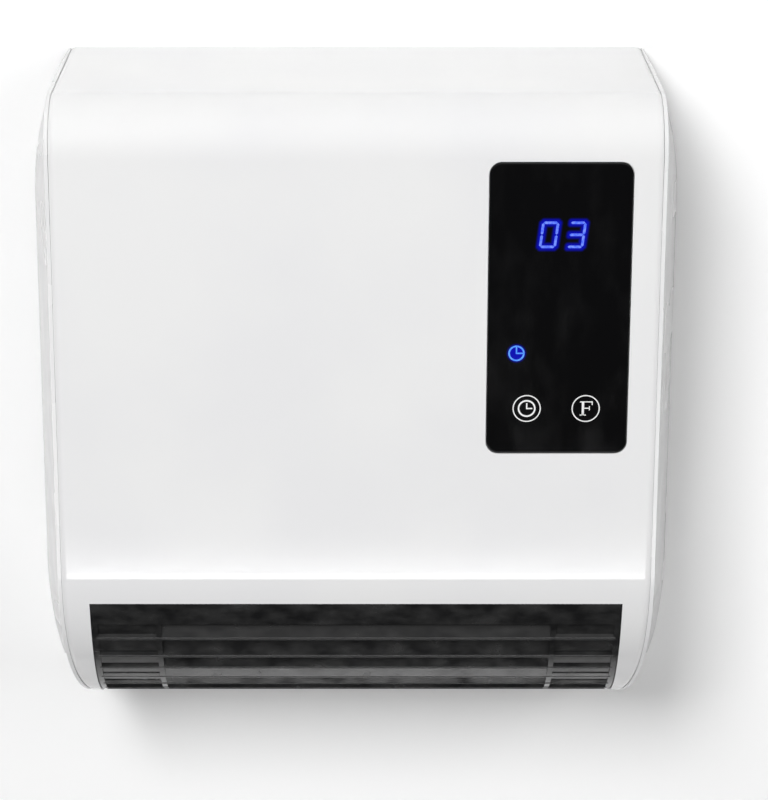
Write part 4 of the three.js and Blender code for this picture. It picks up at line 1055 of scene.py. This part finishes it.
def distance_to_box(tree, place, centre, half):
    """Distance on the panel's plane from the shaded point to a box."""
    off = add(tree, "ShaderNodeVectorMath", {"operation": "SUBTRACT", 1: centre}, {0: place})
    size = add(tree, "ShaderNodeVectorMath", {"operation": "ABSOLUTE"}, {0: off.outputs[0]})
    past = add(tree, "ShaderNodeVectorMath", {"operation": "SUBTRACT", 1: (half[0], 0, half[1])},
               {0: size.outputs[0]})
    clear = add(tree, "ShaderNodeVectorMath", {"operation": "MAXIMUM", 1: (0, 0, 0)},
                {0: past.outputs[0]})
    return add(tree, "ShaderNodeVectorMath", {"operation": "LENGTH"},
               {0: clear.outputs[0]}).outputs["Value"]


def lens_finish():
    """Black acrylic that glows blue close to the lit bars and the timer lamp."""
    material, tree, shader = new_finish("back_printed_acrylic", IOR=1.49)
    wiped = grain(tree, 16 * MM, 6.0, (1.6, 1, 0.7))
    tree.links.new(blend_colour(tree, wiped, "#040405", "#0F0F10", 0.45, 0.8),
                   shader.inputs["Base Color"])
    uneven = add(tree, "ShaderNodeMapRange", NOISE_SPAN | {"To Min": 0.03, "To Max": 0.12},
                 {"Value": wiped})
    tree.links.new(uneven.outputs["Result"], shader.inputs["Roughness"])
    place = add(tree, "ShaderNodeSeparateXYZ", links={
        "Vector": add(tree, "ShaderNodeTexCoord").outputs["Object"]}).outputs
    up = add(tree, "ShaderNodeMath", {"operation": "SUBTRACT", 1: DIGIT_Z}, {0: place["Z"]})
    lean = add(tree, "ShaderNodeMath", {"operation": "MULTIPLY", 1: -DIGIT_LEAN},
               {0: up.outputs[0]})
    straight = add(tree, "ShaderNodeMath", {"operation": "ADD"},
                   {0: place["X"], 1: lean.outputs[0]})
    digit_plane = add(tree, "ShaderNodeCombineXYZ", links={
        "X": straight.outputs[0], "Z": place["Z"]}).outputs[0]
    lamp_plane = add(tree, "ShaderNodeCombineXYZ", links={
        "X": place["X"], "Z": place["Z"]}).outputs[0]
    to_lamp = distance_to_box(tree, lamp_plane, TIMER_LAMP, (0, 0))
    near = add(tree, "ShaderNodeMath", {"operation": "SUBTRACT", 1: LAMP_GLOW_RADIUS},
               {0: to_lamp}).outputs[0]
    for centre, half in [box for digit in DIGIT_XS for box in bar_boxes(digit)]:
        to_bar = distance_to_box(tree, digit_plane, centre, half)
        near = add(tree, "ShaderNodeMath", {"operation": "MINIMUM"},
                   {0: near, 1: to_bar}).outputs[0]
    fall = add(tree, "ShaderNodeMapRange",
               {"interpolation_type": "SMOOTHERSTEP", "From Min": 0.0, "From Max": GLOW_REACH,
                "To Min": GLOW, "To Max": 0.0}, {"Value": near})
    shader.inputs["Emission Color"].default_value = linear("#0008C8")
    tree.links.new(fall.outputs["Result"], shader.inputs["Emission Strength"])
    return material


lens_black = lens_finish()
fit(lens, lens_black, "lens_black", "heater", "control_lens")

# %% [markdown]
# The lit bars vary a little in brightness, in small patches between a pale blue and a deeper blue.
# The white symbols are screen printed ink, slightly uneven at the scale of the mesh.

# %% Lit and printed marks
def lit_blue(name, core, edge, patch):
    """A glowing blue whose brightness varies a little, as behind a diffuser."""
    material, tree, shader = new_finish(name, Roughness=0.3, IOR=1.49)
    shader.inputs["Base Color"].default_value = linear("#05060A")
    tree.links.new(blend_colour(tree, grain(tree, patch, 1.0), edge, core),
                   shader.inputs["Emission Color"])
    shader.inputs["Emission Strength"].default_value = 1.0
    return material


digit_blue = lit_blue("lit_digit_blue", "#7794FF", "#4A6CFF", 1.2 * MM)
lamp_blue = lit_blue("lit_timer_blue", "#5FA8FF", "#3F86FF", 1.0 * MM)
ink_white = moulded("screen_ink_white", "#E4E4E4", "#F2F2F2", 0.5 * MM, (0.4, 0.55),
                    0.15 * MM, 0.002 * MM)
for digit in digits:
    fit(digit, digit_blue, "lens_black", "heater")
fit(timer_lamp, lamp_blue, "lens_black", "heater")
fit(timer_symbol, ink_white, "lens_black", "heater")
fit(function_symbol, ink_white, "lens_black", "heater")

# %% [markdown]
# ## Working parts
# These show only through the slats and the slots, or when the heater is opened. Each keeps
# its frame solid and gets the finish of its real material.

# %% Metals
steel_sheet = moulded("zinc_plated_steel", "#9DA0A3", "#B9BBBD", 6 * MM, (0.25, 0.4),
                      0.5 * MM, 0.01 * MM, Metallic=1.0)
ground_steel = moulded("ground_steel", "#A9ABAD", "#C2C4C6", 3 * MM, (0.15, 0.3), 0.3 * MM,
                       0.006 * MM, (6, 1, 1), Metallic=1.0)
bronze = moulded("sintered_bronze", "#8F6C37", "#B08C4E", 2 * MM, (0.35, 0.5), 0.25 * MM,
                 0.02 * MM, Metallic=1.0)
aluminium_sheet = moulded("rolled_aluminium", "#B9BCBF", "#CBCED0", 8 * MM, (0.3, 0.45),
                          0.6 * MM, 0.01 * MM, (0.1, 1, 1), Metallic=1.0)
aluminium_fins = moulded("brazed_aluminium_fins", "#B4B7BA", "#D2D4D6", 3 * MM, (0.35, 0.55),
                         0.4 * MM, 0.02 * MM, Metallic=1.0)


def striped(name, low, high, axis, pitch, rough, depth, **sockets):
    """A finish with fine parallel lines across `axis`, one each `pitch`."""
    material, tree, shader = new_finish(name, Roughness=rough, **sockets)
    place = add(tree, "ShaderNodeTexCoord").outputs["Object"]
    # A band of the wave texture repeats each pi / 10 units of its scale.
    lines = add(tree, "ShaderNodeTexWave",
                {"wave_type": "BANDS", "bands_direction": axis, "Scale": pi / 10 / pitch,
                 "Distortion": 0.3, "Detail": 1.0}, {"Vector": place}).outputs["Fac"]
    tree.links.new(blend_colour(tree, lines, low, high, 0.2, 0.8), shader.inputs["Base Color"])
    relief = add(tree, "ShaderNodeBump", {"Strength": 1, "Distance": depth}, {"Height": lines})
    tree.links.new(relief.outputs["Normal"], shader.inputs["Normal"])
    return material


laminations = striped("stacked_laminations", "#5F6265", "#8C8F92", "X", 0.5 * MM, 0.45,
                      0.05 * MM, Metallic=1.0)
windings = striped("enamelled_copper_winding", "#6E3318", "#B06A3C", "X", 0.35 * MM, 0.3,
                   0.12 * MM, Metallic=0.9)

# %% [markdown]
# The plastics inside are plainer than the casing, with a dull moulded skin. The power board
# and the display board are glass epoxy under green lacquer, with copper tracks as paler fields.

# %% Plastics, ceramic and boards
fan_black = moulded("glass_filled_fan_black", "#161617", "#242425", 5 * MM, (0.45, 0.6),
                    0.3 * MM, 0.015 * MM, IOR=1.5)
carrier_black = moulded("carrier_black_abs", "#151516", "#202021", 8 * MM, (0.4, 0.55),
                        0.5 * MM, 0.012 * MM, IOR=1.53)
duct_grey = moulded("duct_grey_polyamide", "#7E8184", "#919497", 12 * MM, (0.45, 0.6),
                    0.6 * MM, 0.015 * MM, IOR=1.53)
terminal_grey = moulded("terminal_grey_polyamide", "#8A8C8E", "#A0A2A4", 4 * MM, (0.4, 0.55),
                        0.4 * MM, 0.01 * MM, IOR=1.53)
digit_grey = moulded("display_case_grey", "#6F7173", "#828486", 4 * MM, (0.4, 0.5), 0.3 * MM,
                     0.008 * MM, IOR=1.53)
diffuser_white = moulded("milky_diffuser", "#DADBDC", "#EDEEEF", 2 * MM, (0.35, 0.45),
                         0.3 * MM, 0.005 * MM, IOR=1.5)
connector_white = moulded("connector_white_nylon", "#D8D8D2", "#E6E6E1", 3 * MM, (0.35, 0.5),
                          0.3 * MM, 0.008 * MM, IOR=1.53)
relay_blue = moulded("relay_blue_pbt", "#1F4392", "#2D57AE", 6 * MM, (0.3, 0.42), 0.4 * MM,
                     0.012 * MM, IOR=1.55)
film_yellow = moulded("film_capacitor_box", "#C79F22", "#DDB63A", 5 * MM, (0.35, 0.45),
                      0.4 * MM, 0.01 * MM, IOR=1.55)
can_black = moulded("capacitor_sleeve", "#17171A", "#26262B", 3 * MM, (0.25, 0.35), 0.5 * MM,
                    0.008 * MM, IOR=1.5)
ceramic = moulded("steatite_ceramic", "#D9D2C0", "#E9E3D4", 3 * MM, (0.5, 0.7), 0.25 * MM,
                  0.02 * MM, IOR=1.6)
pvc_white = moulded("white_pvc_sheath", "#D4D4D2", "#E3E3E1", 4 * MM, (0.4, 0.5), 0.5 * MM,
                    0.01 * MM, IOR=1.53)
silicone_red = moulded("red_silicone_sleeve", "#8E2019", "#AE3128", 3 * MM, (0.5, 0.65),
                       0.4 * MM, 0.015 * MM, IOR=1.45)


def circuit_board():
    """Glass-epoxy board: green lacquer, the weave faintly showing, copper tracks as paler
    green fields."""
    material, tree, shader = new_finish("glass_epoxy_board", Roughness=0.38, IOR=1.55)
    place = add(tree, "ShaderNodeTexCoord").outputs["Object"]
    upright = add(tree, "ShaderNodeMapping", {"Rotation": (radians(90), 0, 0)}, {"Vector": place})
    cells = add(tree, "ShaderNodeTexBrick",
                {"Scale": 1 / (24 * MM), "Color1": linear("#2A6A38"), "Color2": linear("#2F7440"),
                 "Mortar": linear("#1F5029"), "Mortar Size": 0.03}, {"Vector": upright.outputs[0]})
    tree.links.new(cells.outputs["Color"], shader.inputs["Base Color"])
    weave = add(tree, "ShaderNodeBump", {"Strength": 1, "Distance": 0.006 * MM},
                {"Height": grain(tree, 0.5 * MM, 1.0)})
    tracks = add(tree, "ShaderNodeBump", {"Strength": 1, "Distance": 0.03 * MM},
                 {"Height": cells.outputs["Fac"], "Normal": weave.outputs["Normal"]})
    tree.links.new(tracks.outputs["Normal"], shader.inputs["Normal"])
    return material


board_green = circuit_board()

# %% [markdown]
# Each of the frame's other nodes now gets the finish of its real material. The list at the
# end is empty when no node was forgotten.

# %% Finishes on the frame's nodes
SCREW_COUNTS = {"display": 2, "motor": 2, "board": 4, "cover": 4}
SCREWS = [f"{kind}_screw_{i + 1}" for kind, count in SCREW_COUNTS.items() for i in range(count)]
CARRIED = {
    steel_sheet: [*SCREWS, "duct_screw_left", "duct_screw_right", "motor_bracket_inner",
                  "motor_bracket_outer", "timer_touch_spring", "function_touch_spring"],
    ground_steel: ["impeller_axle", "motor_shaft"],
    bronze: ["axle_bearing", "motor_bearing_inner", "motor_bearing_outer"],
    aluminium_sheet: ["scroll_wall", "duct_tongue"],
    aluminium_fins: ["heating_element_upper", "heating_element_lower"],
    laminations: ["motor_stator", "motor_rotor"],
    windings: ["motor_coil"],
    fan_black: ["impeller"],
    carrier_black: ["control_frame"],
    duct_grey: ["duct_end_left", "duct_end_right"],
    terminal_grey: ["terminal_block"],
    digit_grey: ["digit_display"],
    diffuser_white: ["timer_indicator"],
    connector_white: ["ribbon_socket"],
    relay_blue: ["low_heat_relay", "high_heat_relay"],
    film_yellow: ["film_capacitor"],
    can_black: ["smoothing_capacitor"],
    ceramic: ["element_holder_left", "element_holder_right", "thermal_cutout", "thermal_fuse"],
    rubber: ["drive_hub", "bearing_grommet"],
    pvc_white: ["display_cable", "motor_lead"],
    silicone_red: ["heater_lead"],
    board_green: ["display_board", "power_board"],
}
for material, names in CARRIED.items():
    for name in names:
        NODES[name].data.materials.clear()
        NODES[name].data.materials.append(material)
carried = {name for names in CARRIED.values() for name in names}
REBUILT = {"front_cover", "rear_housing", "outlet_grille", "control_lens", "switch_body",
           "switch_rocker", "cable_gland"}
print("nodes without a finish:", sorted(set(NODES) - carried - REBUILT))

# %% [markdown]
# ## The wall
# The heater hangs on a plain white wall, which catches its shadow. The wall has a hole just
# inside the heater's outline, and shows only its front side, so that the heater's back can be
# looked at from behind.

# %% Wall
WALL_REACH = 4.0
WALL_BEHIND = 0.2 * MM
HOLE_INSET, HOLE_STEPS = 1.5 * MM, 24


def wall_shape():
    """A large square with a hole along the heater's outline at the wall."""
    bm = bmesh.new()
    low, high = FOOT + HOLE_INSET, TOP - RETURN - HOLE_INSET
    levels = [low + (high - low) * i / HOLE_STEPS for i in range(HOLE_STEPS + 1)]
    outline = [(side_at(0, z) - HOLE_INSET, z) for z in levels]
    outline += [(-x, z) for x, z in reversed(outline)]
    square = [(-WALL_REACH, -WALL_REACH), (WALL_REACH, -WALL_REACH),
              (WALL_REACH, WALL_REACH), (-WALL_REACH, WALL_REACH)]
    edges = []
    for loop in (outline, square):
        verts = [bm.verts.new((x, WALL_BEHIND, z)) for x, z in loop]
        edges += [bm.edges.new((a, b)) for a, b in zip(verts, verts[1:] + verts[:1])]
    bmesh.ops.triangle_fill(bm, edges=edges, use_beauty=True)
    for face in bm.faces:
        if face.normal.y > 0:
            face.normal_flip()
    mesh = bpy.data.meshes.new("wall")
    bm.to_mesh(mesh)
    bm.free()
    made = bpy.data.objects.new("wall", mesh)
    bpy.context.scene.collection.objects.link(made)
    return made


def wall_paint():
    """Matt white paint on the front, nothing on the back."""
    material, tree, shader = new_finish("matt_wall_paint", Roughness=0.9)
    tree.links.new(blend_colour(tree, grain(tree, 300 * MM), "#FBFBFB", "#FDFDFD"),
                   shader.inputs["Base Color"])
    shader.inputs["Specular IOR Level"].default_value = 0.0
    behind = add(tree, "ShaderNodeNewGeometry").outputs["Backfacing"]
    clear = add(tree, "ShaderNodeBsdfTransparent").outputs[0]
    shown = add(tree, "ShaderNodeMixShader", links={0: behind, 1: shader.outputs[0], 2: clear})
    tree.links.new(shown.outputs[0], tree.nodes["Material Output"].inputs["Surface"])
    return material


wall = wall_shape()
wall.data.materials.append(wall_paint())
